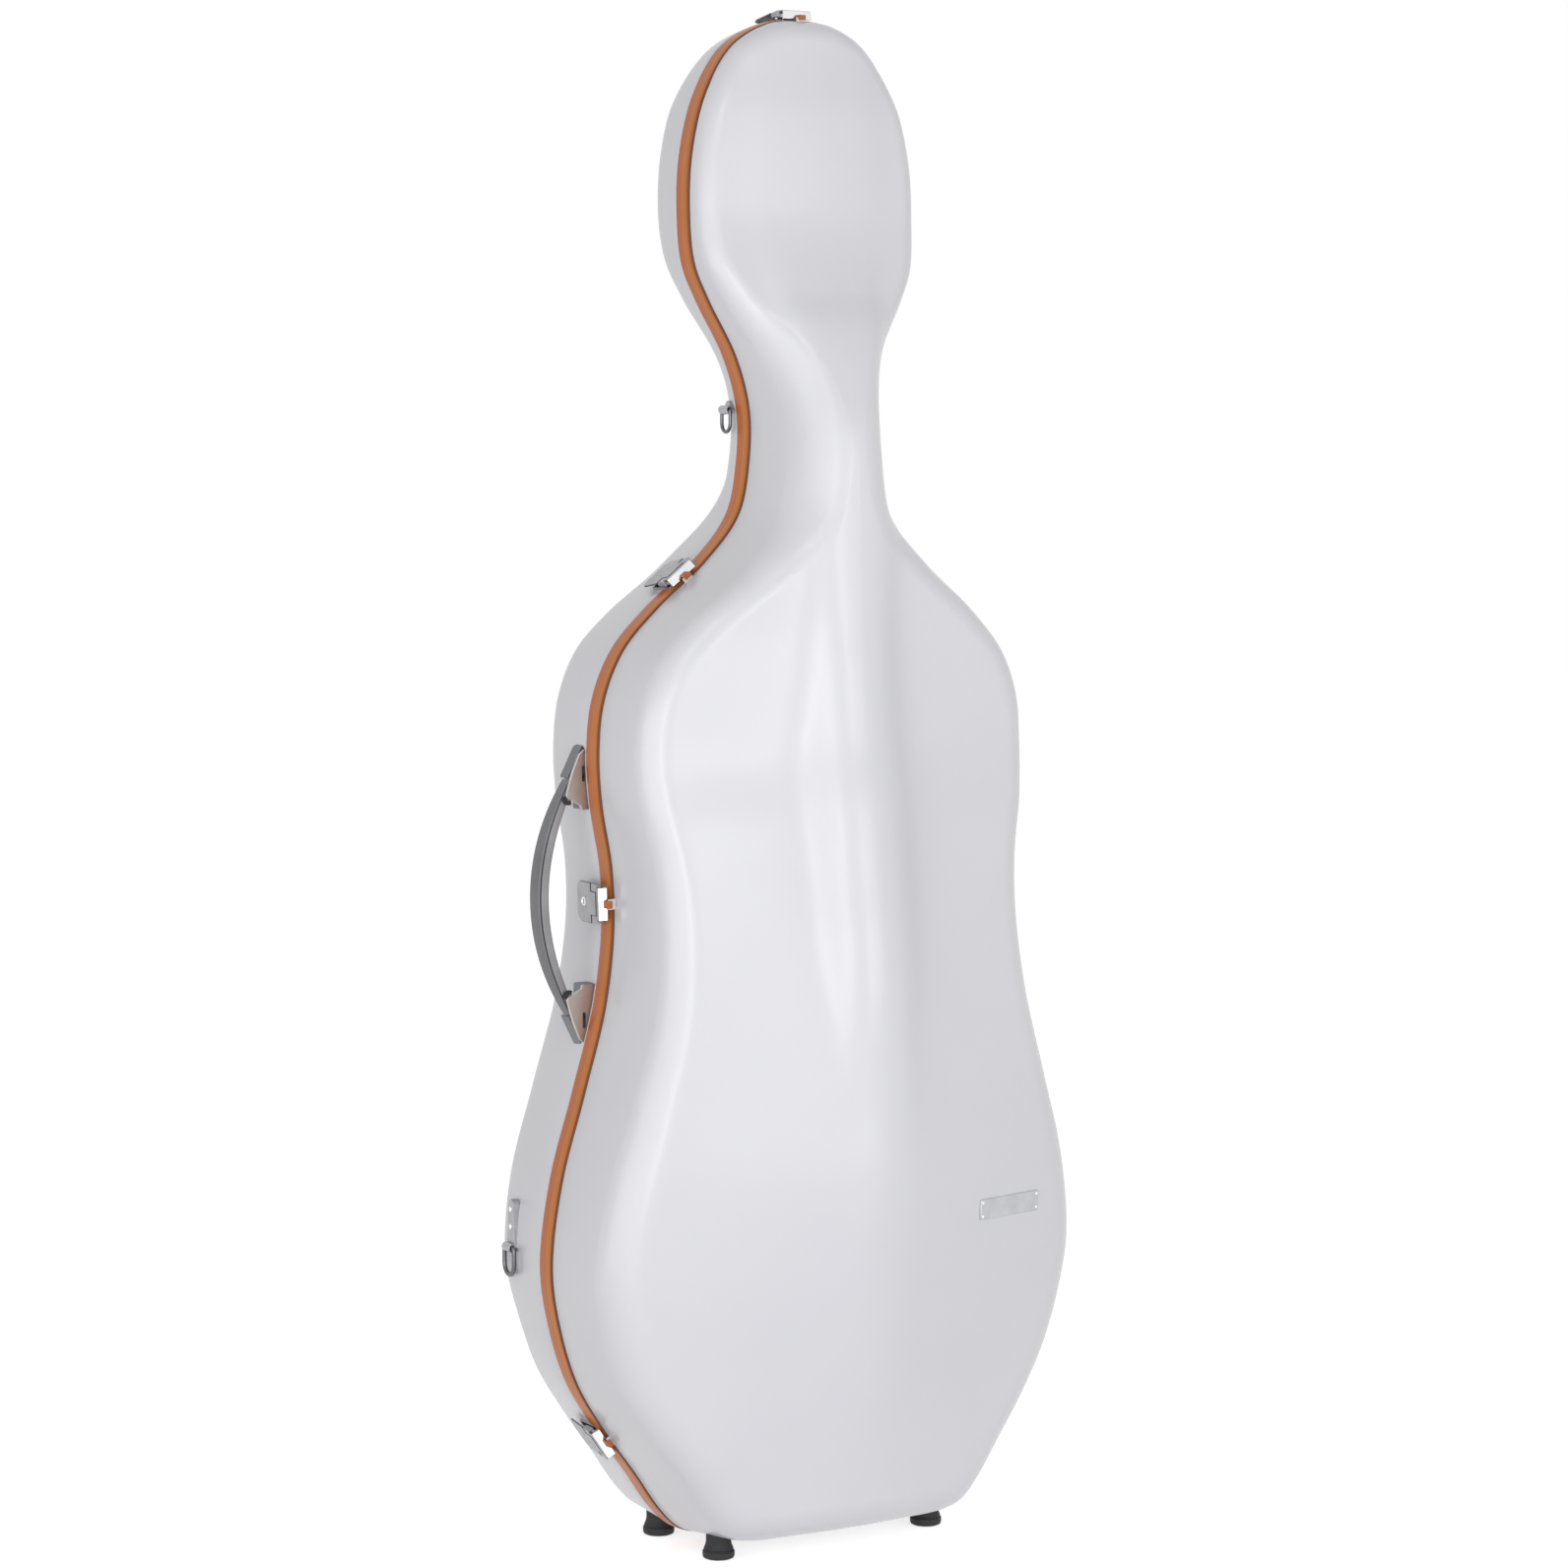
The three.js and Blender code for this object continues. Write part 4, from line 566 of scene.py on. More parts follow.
def finish_look(look, color, roughness, normal):
    shader = look.node_tree.nodes["Principled BSDF"]
    for output, socket in ((color, "Base Color"), (roughness, "Roughness"), (normal, "Normal")):
        if output is not None:
            link(look, output, shader.inputs[socket])
    return look


def shell_look():
    """Pearly white lacquer: a faint cloud in the colour, fine flakes and a slight orange peel."""
    look = new_look("pearl_lacquer", (0.675, 0.675, 0.71), 0.38, Coat_Weight=0.6, Coat_Roughness=0.27)
    wide = place_node(look)
    cloud = noise(look, wide, 5, 3)
    color = ramp(look, cloud, [(0.3, (0.665, 0.665, 0.705)), (0.7, (0.7, 0.7, 0.73))])
    flakes = to_range(look, noise(look, wide, 900, 2), 0.34, 0.44)
    peel = bump(look, noise(look, wide, 160, 2), 0.03, 0.001)
    return finish_look(look, color, flakes, peel)


def seal_look():
    """Satin orange-brown strip: lengthwise streaks, a redder middle, and a dark edge towards the lid that is
    painted shadow of the gap between strip and lid.
    """
    look = new_look("seal_strip", (0.52, 0.15, 0.03), 0.45,
                    Coat_Weight=0.04, Coat_Roughness=0.3, Specular_IOR_Level=0.3)
    coordinates = node(look, "ShaderNodeTexCoord")
    parts = node(look, "ShaderNodeSeparateXYZ")
    link(look, coordinates.outputs["Object"], parts.inputs["Vector"])
    low, high = ((SHIFT[1] + sign * SEAL_WIDTH / 2) * MM for sign in (-1, 1))
    across = node(look, "ShaderNodeMapRange", From_Min=low, From_Max=high)
    link(look, parts.outputs["Y"], across.inputs["Value"])
    # Colour across the strip from the lid's side. The two dark stops at the lid's edge are painted shadow of
    # the gap.
    tone_and_gap_shadow = ramp(look, across.outputs["Result"], [
        (0.0, (0.16, 0.045, 0.014)), (0.07, (0.2, 0.055, 0.015)), (0.13, (0.53, 0.17, 0.03)),
        (0.36, (0.6, 0.2, 0.042)), (0.62, (0.55, 0.15, 0.042)), (0.88, (0.5, 0.135, 0.032)),
        (1.0, (0.34, 0.09, 0.024))])
    streaks = noise(look, place_node(look, (3, 420, 3)), 1, 4, 0.6)
    shade = shaded(look, streaks, (1, 1, 1), (0.3, 0.82), (0.7, 1.12))
    mix = node(look, "ShaderNodeMix", data_type="RGBA", blend_type="MULTIPLY")
    mix.inputs["Factor"].default_value = 1
    link(look, tone_and_gap_shadow, mix.inputs["A"])
    link(look, shade, mix.inputs["B"])
    satin = to_range(look, streaks, 0.28, 0.45)
    return finish_look(look, mix.outputs["Result"], satin, bump(look, streaks, 0.15, 0.0004))


def metal_look(name, color, roughness, stretch=(40, 40, 900), depth=0.05):
    """Satin metal with fine brushing and a faint cloud of handling marks."""
    look = new_look(name, color, roughness, 1.0)
    brushed = noise(look, place_node(look, stretch), 1, 3)
    cloud = noise(look, place_node(look), 60, 3)
    tint = shaded(look, cloud, color, (0.3, 0.9), (0.7, 1.05))
    satin = to_range(look, brushed, roughness * 0.8, roughness * 1.25)
    return finish_look(look, tint, satin, bump(look, brushed, depth, 0.0003))


def plastic_look(name, color, roughness, grain=700, depth=0.12):
    """Moulded plastic or rubber with a fine grain."""
    look = new_look(name, color, roughness)
    vector = place_node(look)
    fine = noise(look, vector, grain, 3)
    cloud = noise(look, vector, 25, 3)
    tint = shaded(look, cloud, color, (0.3, 0.86), (0.7, 1.1))
    satin = to_range(look, fine, roughness * 0.85, roughness * 1.15)
    return finish_look(look, tint, satin, bump(look, fine, depth, 0.0004))


def plush_look(name, color, scale=1.0):
    """Short-pile plush: brushed patches, tufts and a soft sheen at grazing angles."""
    look = new_look(name, color, 0.95, Sheen_Weight=0.5, Sheen_Roughness=0.45)
    vector = place_node(look)
    patches = noise(look, vector, 14 * scale, 4)
    pile = noise(look, place_node(look, (1, 1, 0.45)), 650 * scale, 3, 0.7)
    mixed = node(look, "ShaderNodeMix", data_type="FLOAT")
    mixed.inputs["Factor"].default_value = 0.55
    link(look, patches, mixed.inputs["A"])
    link(look, pile, mixed.inputs["B"])
    tint = shaded(look, mixed.outputs["Result"], color, (0.3, 0.6), (0.5, 1), (0.7, 1.35))
    first = bump(look, patches, 0.2, 0.002)
    return finish_look(look, tint, None, bump(look, pile, 0.7, 0.0012, first))


def webbing_look(name, color):
    """Woven webbing: crossing ribs of a fine plain weave."""
    look = new_look(name, color, 0.8, Sheen_Weight=0.3)
    vector = place_node(look)
    weave = node(look, "ShaderNodeMath", operation="MULTIPLY")
    for k, (direction, scale) in enumerate((("X", 320), ("Z", 240))):
        ribs = node(look, "ShaderNodeTexWave", bands_direction=direction, Scale=scale, Distortion=0.4)
        link(look, vector, ribs.inputs["Vector"])
        link(look, ribs.outputs["Fac"], weave.inputs[k])
    tint = shaded(look, weave.outputs["Value"], color, (0, 0.6), (0.8, 1.25))
    return finish_look(look, tint, None, bump(look, weave.outputs["Value"], 0.5, 0.0005))


SHELL_LOOK = shell_look()
SEAL_LOOK = seal_look()
NICKEL_LOOK = metal_look("satin_nickel", (0.4, 0.4, 0.42), 0.36)
LEVER_LOOK = metal_look("lever_nickel", (0.36, 0.36, 0.375), 0.42)
# Dark metal for a sheet under the lever's plate. Its rim round the plate is painted shade of the plate's
# edges.
EDGE_SHADE_LOOK = metal_look("lever_painted_edge_shade", (0.14, 0.14, 0.15), 0.5)
BRIGHT_LOOK = metal_look("polished_nickel", (0.86, 0.86, 0.88), 0.14, depth=0.02)
BRACKET_LOOK = metal_look("bracket_nickel", (0.45, 0.425, 0.405), 0.42)
BAND_LOOK = metal_look("bracket_band", (0.2, 0.2, 0.215), 0.45)
PLATE_LOOK = metal_look("plate_aluminium", (0.5, 0.51, 0.53), 0.4, (900, 60, 60))
WIRE_LOOK = metal_look("ring_wire", (0.16, 0.16, 0.175), 0.34)
GRIP_LOOK = plastic_look("grip_shell", (0.185, 0.185, 0.2), 0.5)
GRIP_FRONT_LOOK = plastic_look("grip_inlay", (0.28, 0.28, 0.295), 0.55)
# Black for pieces sunk in gaps and grooves, where it is painted shade.
GAP_SHADE_LOOK = plastic_look("painted_gap_shade", (0.018, 0.018, 0.02), 0.6, 400, 0.25)
FOOT_LOOK = plastic_look("foot_rubber", (0.02, 0.02, 0.022), 0.7, 300, 0.35)
# Near-black for sheets sunk in recesses and gaps, where it is painted shade.
RECESS_SHADE_LOOK = plastic_look("painted_recess_shade", (0.03, 0.03, 0.033), 0.5)
CLAW_LOOK = plastic_look("claw_nylon", (0.42, 0.115, 0.025), 0.5)
CLIP_LOOK = plastic_look("clip_plastic", (0.13, 0.13, 0.14), 0.45)
LINING_LOOK = plush_look("lining_plush", (0.115, 0.125, 0.15))
CUSHION_LOOK = plush_look("cushion_plush", (0.06, 0.068, 0.085), 0.8)
FOAM_LOOK = plush_look("foam_plush", (0.045, 0.05, 0.06), 1.2)
PIPING_LOOK = webbing_look("piping_cord", (0.05, 0.055, 0.07))
STRAP_LOOK = webbing_look("strap_webbing", (0.05, 0.055, 0.065))


# Shells, linings and seal
LIP_RADIUS = 0.9
MERGE_DISTANCE = 0.002
LINING_INSET = WALL + CLEARANCE


def shell_piece(name, node_name, side, inset, thickness, rim_depth, body, slot, look):
    """A sheet of even thickness, with a rounded lip at the rim."""
    outer = sheet_rings(side, inset, rim_depth, *OUTER_ROWS)
    inner = sheet_rings(side, inset + thickness, rim_depth, *INNER_ROWS)
    soft = min(LIP_RADIUS, thickness / 3)
    lips = []
    for edge, way in ((outer[0], 1), (inner[0], -1)):
        lip = []
        for inward, lift in ((0, 1), (0.3, 0.3), (1, 0)):
            ring = edge.copy()
            ring[:, [0, 2]] -= way * NORMALS * soft * inward
            ring[:, 1] += side["toward"] * soft * lift
            lip.append(ring)
        lips.append(lip)
    rings = outer[:0:-1] + lips[0] + lips[1][::-1] + inner[1:]
    item = mesh_object(name, [ring_solid(rings, "open")], SEAM, sharp=50, merge=MERGE_DISTANCE)
    dress(item, body, slot, look, node_name)


for kind, finish, inset, thickness, rim_depth, look in (
        ("shell", "lacquered", 0, WALL, 0, SHELL_LOOK),
        ("lining", "plush", LINING_INSET, LINING_THICKNESS, LID_GAP, LINING_LOOK)):
    for body, side in (("lid", LID), ("back", BACK)):
        name = f"{body}_{kind}"
        shell_piece(f"{name}_{finish}", name, side, inset, thickness, rim_depth, body, kind, look)


def add_seal():
    """A strip around the seam with a slightly domed face, whose back lies between the shells."""
    half = [(-9, -10.5), (0, -10.5), (0.45, -10.1), (0.8, -9), (1.15, -6), (1.3, -2)]
    rings = []
    for out, y in half + [(out, -y) for out, y in half[::-1]]:
        place = OUTLINE + NORMALS * out
        rings.append(np.column_stack([place[:, 0], np.full(len(place), y), place[:, 1]]))
    strip = ring_solid(rings, "joined")
    add_piece("rim_seal_strip", [strip], SEAM, "back", "seal", SEAL_LOOK, "rim_seal", sharp=50)


add_seal()


# Latches. In a latch's frame x runs across the seam to the lid, y outward and z along the seam
TOWARD_LID = Vector((0, -1, 0))
UP = Vector((0, 0, 1))
OUTWARD = Vector((-1, 0, 0))
LATCH_PIVOT = (-1, 5.2)
LATCH_STUB = (-6, 5.5)
PLATE_BACK, PLATE_FRONT, PLATE_BACK_LOW, PLATE_FRONT_LOW, PLATE_THICK = -40, -9.8, 2.4, 8.6, 1.4
PLATE_SLOPE = (PLATE_FRONT_LOW - PLATE_BACK_LOW) / (LATCH_PIVOT[0] - PLATE_BACK)
PLATE_HALF, PLATE_CORNER, SHADE_RIM_GROWTH, SHADE_RIM_THICK, COVER_TOP = 17, 9, 0.5, 0.9, 0.95
BAR_HALF, BASE_HALF, CLAW_HALF, KEEPER_HALF, EAR_RADIUS, STUB_RADIUS = 14, 15, 3.25, 4.5, 2.9, 2.8
LEVER_SIDE, ARM_SIDE, COVER_SIDE, EAR_SIDE = (7.8, 10), (10.5, 13.3), (10.5, 16.8), (5.5, 7.5)
LOCK_X, LOCK_LOW, LOCK_HIGH, LOCK_BORE = -25.5, 2.8, 6.4, 4.2
BACK_NICKEL = ("back", "hardware", NICKEL_LOOK)


def plate_low(x):
    return PLATE_BACK_LOW + (x - PLATE_BACK) * PLATE_SLOPE


def joint_frame(name, x_axis):
    """A frame at a joint: z against its axis and x along the given axis."""
    joint = JOINTS[name]
    z = -Vector(joint["axis"]).normalized()
    return Vector(joint["pos_m"]), x_axis, z.cross(x_axis)


def latch_matrix(name):
    pivot, x, y = joint_frame(f"lever_{name}_pivot", TOWARD_LID)
    return axes_matrix(pivot - (x * LATCH_PIVOT[0] + y * LATCH_PIVOT[1]) * MM, x, y)


def sloped_plate(grown, thick):
    """The lever's plan, grown at its outer edges and laid on the lever's slope."""
    front = [(PLATE_FRONT, -10), (-8, -10), (1.5, -10)]
    plan = [(PLATE_FRONT, -PLATE_HALF - grown), *front, *[(x, -z) for x, z in front[::-1]]]
    plan.append((PLATE_FRONT, PLATE_HALF + grown))
    x, z = PLATE_BACK + PLATE_CORNER, PLATE_HALF - PLATE_CORNER
    plan += arc(x, z, PLATE_CORNER + grown, 90, 180, 12) + arc(x, -z, PLATE_CORNER + grown, 180, 270, 12)
    return ring_solid([[(x, plate_low(x) + rise, z) for x, z in plan] for rise in (0, thick)])


def lug(x, y, radius, low, high):
    """A lug that hangs from the lever's plate around a point."""
    top = plate_low(x) + 0.4
    return prism([(x + radius, top), *arc(x, y, radius, 0, -180, 12), (x - radius, top)], low, high)


def lever_parts():
    parts = [sloped_plate(0, PLATE_THICK)]
    for sign in (-1, 1):
        parts.append(lug(*LATCH_PIVOT, EAR_RADIUS, *span(sign, *LEVER_SIDE)))
        parts.append(lug(*LATCH_STUB, STUB_RADIUS, *span(sign, *LEVER_SIDE)))
        parts.append(rod(1.4, *span(sign, LEVER_SIDE[0], ARM_SIDE[1]), *LATCH_STUB, sides=16))
    return parts


def rivet_parts():
    """Two rivets that stand on the lever's plate."""
    x = -21
    tilt = Matrix.Rotation(math.atan(PLATE_SLOPE), 4, "Z")
    heads = []
    for z in (-4.6, 4.6):
        place = Matrix.Translation((x, plate_low(x) + PLATE_THICK, z)) @ tilt @ TO_Y
        heads.append(moved(screw(1.15, 0.5, False), place))
    return heads


def hook_parts():
    """The bright bar, whose face leans back, and two arms that end on the lever's stubs."""
    parts = [prism([(4.9, 2.4), (8.6, 2.4), (8.6, 3.4), (6.3, 9.6), (4.9, 9.6)], -BAR_HALF, BAR_HALF)]
    arm = [(LATCH_STUB[0], 4.1), (6, 4.1), (6, 6.9), (LATCH_STUB[0], 6.9)]
    for sign in (-1, 1):
        parts.append(prism(arm, *span(sign, *ARM_SIDE)))
        parts.append(rod(STUB_RADIUS, *span(sign, *ARM_SIDE), *LATCH_STUB, sides=20))
    return parts


def cover_parts():
    """Covers over the arms, which fill the lever's corners, and a lip on the bar."""
    parts = [prism([(2.4, 8.9), (5.4, 9.2), (6.2, 9.2), (6.0, 10), (2.4, 10)], -BAR_HALF, BAR_HALF)]
    top = [(x, plate_low(x) + COVER_TOP) for x in (1.9, -8.4)]
    cover = [(-8.2, 4.4), (1.9, 4.4), *top, (-8.4, 7.6), (-9.5, 7), (-9.5, 6)]
    return parts + [prism(cover, *span(sign, *COVER_SIDE)) for sign in (-1, 1)]


def base_parts():
    """A plate on the back shell, with a block and two ears for the lever's pin."""
    profile = [(-26, -3), (2.2, -3), (2.2, 2), (-8, 2), (-25.4, 1.4), (-26, 0.8)]
    block = [(-8, -3), (1.2, -3), (1.2, 3.2), (-8, 3.2)]
    ear = [(1.9, 0), *arc(*LATCH_PIVOT, EAR_RADIUS, 0, 180, 12), (-3.9, 0)]
    ears = [prism(ear, *span(sign, *EAR_SIDE)) for sign in (-1, 1)]
    return [prism(profile, -BASE_HALF, BASE_HALF), prism(block, -EAR_SIDE[1], EAR_SIDE[1]), *ears]


def add_latch(latch, lock=None):
    """One latch. Where a lock is given, its bore goes through the lever and its rim."""
    matrix = latch_matrix(latch)
    lever, hook = f"lever_{latch}", f"hook_{latch}"
    bore = ([lathe([(LOCK_BORE, -4), (LOCK_BORE, 3)])], matrix @ lock) if lock else None
    claw = [(6, 4.3), (13.9, 4.3), (13.9, 1.4), (15.6, 1.4), (15.6, 5.0), (14.9, 5.7), (6, 5.7)]
    keeper = [(11.3, -3), (13.4, -3), (13.4, 3.2), (12.9, 3.7), (11.8, 3.7), (11.3, 3.2)]
    pieces = [
        ("base", base_parts(), *BACK_NICKEL, 0.3),
        ("pin", [rod(1.5, -10.3, 10.3, *LATCH_PIVOT)], *BACK_NICKEL, 0),
        # The rim is a dark sheet a little larger than the lever's plate: painted shade along the plate's
        # edges.
        ("rim", [sloped_plate(SHADE_RIM_GROWTH, SHADE_RIM_THICK)], lever, "lever", EDGE_SHADE_LOOK, 0),
        ("lever", lever_parts(), lever, "lever", LEVER_LOOK, 0.35),
        ("rivets", rivet_parts(), lever, "lever", NICKEL_LOOK, 0),
        ("hook", hook_parts(), hook, "polished", BRIGHT_LOOK, 0.35),
        ("covers", cover_parts(), hook, "lever", LEVER_LOOK, 0.3),
        ("claw", [prism(claw, -CLAW_HALF, CLAW_HALF)], hook, "seal", CLAW_LOOK, 0.3),
        ("keeper", [prism(keeper, -KEEPER_HALF, KEEPER_HALF)], "lid", "shell", SHELL_LOOK, 0.25)]
    for kind, parts, body, slot, look, bevel in pieces:
        nodes = [] if kind in ("rim", "rivets", "covers", "claw") else [f"latch_{kind}_{latch}"]
        cutter = bore if kind in ("rim", "lever") else None
        name = f"latch_{latch}_{kind}"
        add_piece(name, parts, matrix, body, slot, look, *nodes, bevel=bevel, cutter=cutter)


def add_lock(place):
    """A barrel with a slot, and a dark sheet deep in the slot that is painted shade of the keyway."""
    deep = LOCK_LOW - LOCK_HIGH
    face = [(4, -0.5), (3.6, -0.1), (3.1, 0), (2.8, -0.35), (2.5, -0.45), (AXIS_RADIUS, -0.45)]
    barrel = lathe([(3.4, deep), (4, deep + 0.5), *face])
    slot = ([prism(rounded(1.2, 5, 0.55), -1.7, 1)], place @ Matrix.Translation((0, 0, 0.4)))
    add_piece("lock_barrel", [barrel], place, "lock", "hardware", BRIGHT_LOOK, "lock_cylinder", cutter=slot)
    # A dark sheet deep in the slot: painted shade of the keyway.
    keyway = prism(rounded(1.1, 4.8, 0.5), -1.5, -1.15)
    add_piece("lock_keyway", [keyway], place, "lock", "hardware", RECESS_SHADE_LOOK)


LOCK_PLACE = Matrix.Translation((LOCK_X, LOCK_HIGH, 0)) @ TO_Y
add_latch("top")
add_latch("shoulder")
add_latch("waist", LOCK_PLACE)
add_lock(latch_matrix("waist") @ LOCK_PLACE)
add_latch("lower")


# Feet: a rounded rubber foot with a groove and a screw well in its sole
FOOT_X, FOOT_Y = 109, 50


def foot_part():
    well = [(AXIS_RADIUS, 4), (4, 4), (4, 0.6), (5, 0)]
    outside = [(11.5, 0), (13.3, 0.9), (14, 2.8), (14, 6.4), (13.2, 7.2), (12.6, 7.8), (13, 8.6), (12.6, 9.6)]
    return lathe([*well, *outside, (11.4, 12.4), (11, 15), (11, 27), (AXIS_RADIUS, 27)])


for body, side in (("lid", -1), ("back", 1)):
    for sign, hand in ((-1, "left"), (1, "right")):
        matrix = Matrix.Translation(seam_point((sign * FOOT_X, side * FOOT_Y, 0))) @ Matrix.Scale(MM, 4)
        add_piece(f"foot_{body}_{hand}", [foot_part()], matrix, body, "foot", FOOT_LOOK,
                  f"{body}_foot_{hand}", sharp=40)


# Handle: a swinging grip between two brackets
HANDLE_AXIS = Vector(JOINTS["handle_swing"]["pos_m"])
HANDLE_HALF = 102
GRIP_END = 101.8
GRIP_REACH = 99.3
GRIP_BULGE = 29
GRIP_NARROWING = 5 / 16
GRIP_THINNING = 3.5 / 11
GRIP_STEPS = 64
BRACKET_LENGTH = 28
BRACKET_HALF = 10
FOOT_LENGTH = 27
BRACKET_DEEP = -36


def grip_part(section):
    """A section of (across, outward) points along the bent grip, which is slimmer at its ends."""
    rings = []
    for t in np.linspace(-1, 1, GRIP_STEPS + 1):
        slope = math.atan2(-2 * GRIP_BULGE * t, GRIP_REACH)
        narrow = 1 - GRIP_NARROWING * abs(t) ** 3
        thin = 1 - GRIP_THINNING * abs(t) ** 3
        middle = GRIP_BULGE * (1 - t * t)
        along = t * GRIP_REACH
        rings.append([(u * narrow, middle + v * thin * math.cos(slope), along - v * thin * math.sin(slope))
                      for u, v in section])
    return ring_solid(rings)


def add_grip():
    matrix = axes_matrix(HANDLE_AXIS, (0, 1, 0), OUTWARD)
    inner = [*arc(5.4, -2.9, 2.6, -90, 0), *arc(7.4, 2, 0.6, 0, 90, 4), *arc(-7.4, 2, 0.6, 90, 180, 4),
             *arc(-5.4, -2.9, 2.6, 180, 270)]
    outer = [(7.8, 3.9), (8, 4.1), *arc(6.4, 4.1, 1.5, 0, 80), (2, 5.75), (-2, 5.75),
             *arc(-6.4, 4.1, 1.5, 100, 180), (-8, 4.1), (-7.8, 3.9)]
    ends = [rod(4.2, low, low + 10, sides=32, edge=0.8) for low in (-GRIP_END, GRIP_END - 10)]
    for name, parts, look, nodes in (
            ("body", [grip_part(inner), *ends], GRIP_FRONT_LOOK, ["handle_grip"]),
            # The seam is a black strip sunk between the cover and the body: painted shade of the groove
            # between them.
            ("seam", [grip_part(rounded(14.4, 3, 0.5, 0, 3.4, 2))], GAP_SHADE_LOOK, []),
            ("cover", [grip_part(outer)], GRIP_LOOK, [])):
        add_piece(f"handle_grip_{name}", parts, matrix, "handle", "grip", look, *nodes)


def bracket_matrix(sign):
    """A bracket's frame: x runs away from the grip, y outward and z to the lid."""
    matrix = axes_matrix(HANDLE_AXIS + UP * sign * HANDLE_HALF * MM, UP * sign, OUTWARD)
    if sign < 0:
        matrix.col[2] = -matrix.col[2]
    return matrix


def add_bracket(name, sign):
    """A band with a foot under the grip's end and a slotted cheek plate before it, with a dark sheet in the
    groove between them and a black crescent behind the grip's end, both painted shade of gaps.
    """
    matrix = bracket_matrix(sign)
    far = [*arc(BRACKET_LENGTH - 6, -13.4, 6, 62, 0), (BRACKET_LENGTH, BRACKET_DEEP)]
    band = [(0, BRACKET_DEEP), (0, 3.2), (0.8, 3.8), (2, 3.7), *far]
    foot = [(-FOOT_LENGTH, BRACKET_DEEP), (-FOOT_LENGTH, -9.5), (1 - FOOT_LENGTH, -8.5), (1, -8.5),
            (1, BRACKET_DEEP)]
    parts = [prism(outline, -8, 5.6) for outline in (band, foot)]
    add_piece(f"handle_{name}_bracket", parts, matrix, "back", "hardware", BAND_LOOK,
              f"{name}_handle_bracket", bevel=0.9)
    # A dark sheet sunk in the groove between the band and the cheek: painted shade of the gap.
    groove_shade_band = [(x, y - 2) if y > BRACKET_DEEP else (x, y) for x, y in band]
    parts = [prism(outline, 5, 7.8) for outline in (groove_shade_band, [(x + 1.5, y - 1) for x, y in foot])]
    add_piece(f"handle_{name}_groove_shade", parts, matrix, "back", "hardware", RECESS_SHADE_LOOK)
    low_edge = [(-FOOT_LENGTH, BRACKET_DEEP), (-FOOT_LENGTH, -8), (-26, -6.6), (-23, -5.4), (-21.4, -2)]
    corner = arc(-14.2, 5, 3.2, 72, 190)[::-1]
    top_edge = [(5.6, 2.2), (20.5, -4.7), (24.6, -9.6), (BRACKET_LENGTH - 1, BRACKET_DEEP)]
    cheek = prism([*low_edge, *corner, *top_edge], 7.4, BRACKET_HALF)
    slot = prism(rounded(14, 3, 1.45, 4, -8.8, 8), 6, 12)
    add_piece(f"handle_{name}_cheek", [cheek], matrix, "back", "hardware", BRACKET_LOOK, bevel=0.7,
              cutter=([slot], matrix))
    # The black crescent stands in the gap behind the grip's end: painted shade of that gap.
    crescent = [*arc(-16.6, 5.2, 6.1, 84, 205, 12), *arc(-15.2, 4.9, 3.2, 205, 84, 12)]
    stop = prism(crescent, 7.2, BRACKET_HALF - 0.3)
    add_piece(f"handle_{name}_stop", [stop], matrix, "back", "foot", GAP_SHADE_LOOK, bevel=0.5)
    pin = moved(rod(2.2, -7, 3.2, sides=28), TO_X)
    add_piece(f"handle_{name}_pin", [pin], matrix, *BACK_NICKEL, f"{name}_handle_pin")


add_grip()
add_bracket("upper", 1)
add_bracket("lower", -1)


# Hinges on the right
HINGE_AXIS = Vector(JOINTS["lid_hinge"]["axis"]).normalized()
HINGE_PLACE = Vector(JOINTS["lid_hinge"]["pos_m"])
HINGE_RADIUS = 4.4
LEAF_TOP = -3.4
LEAF_HALF = 23.5
KNUCKLE_HALF = 7.8
KNUCKLE_AWAY = 16
BACK_LEAF_REACH, LID_LEAF_REACH = 34, 23.5
PIN_HEAD_SHIFT = 0.8


def hinge_matrix(name):
    low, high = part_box(f"hinge_pin_{name}")
    height = (low.z + high.z) / 2 - PIN_HEAD_SHIFT * MM
    place = HINGE_PLACE + HINGE_AXIS * ((height - HINGE_PLACE.z) / HINGE_AXIS.z)
    return axes_matrix(place, TOWARD_LID, HINGE_AXIS.cross(TOWARD_LID))


def leaf_parts(sign, knuckles, reach):
    """A leaf with its knuckles. Its underside is hidden in the shell."""
    plate = [(0.3, -9), (reach, -9), (reach, LEAF_TOP - 0.6), (reach - 1, LEAF_TOP), (HINGE_RADIUS, LEAF_TOP),
             (0.3, -1.3)]
    arm = [(0, -1.3), (HINGE_RADIUS, -6), (7, LEAF_TOP), (0, HINGE_RADIUS)]
    plate, arm = ([(sign * x, y) for x, y in outline] for outline in (plate, arm))
    parts = [prism(plate, -LEAF_HALF, LEAF_HALF)]
    for middle in knuckles:
        low, high = middle - KNUCKLE_HALF, middle + KNUCKLE_HALF
        parts += [prism(arm, low, high), rod(HINGE_RADIUS, low, high, sides=32, edge=0.5)]
    return parts


def leaf_screws(x, places):
    return [moved(screw(2.9, 1.1), Matrix.Translation((x, LEAF_TOP, z)) @ TO_Y) for z in places]


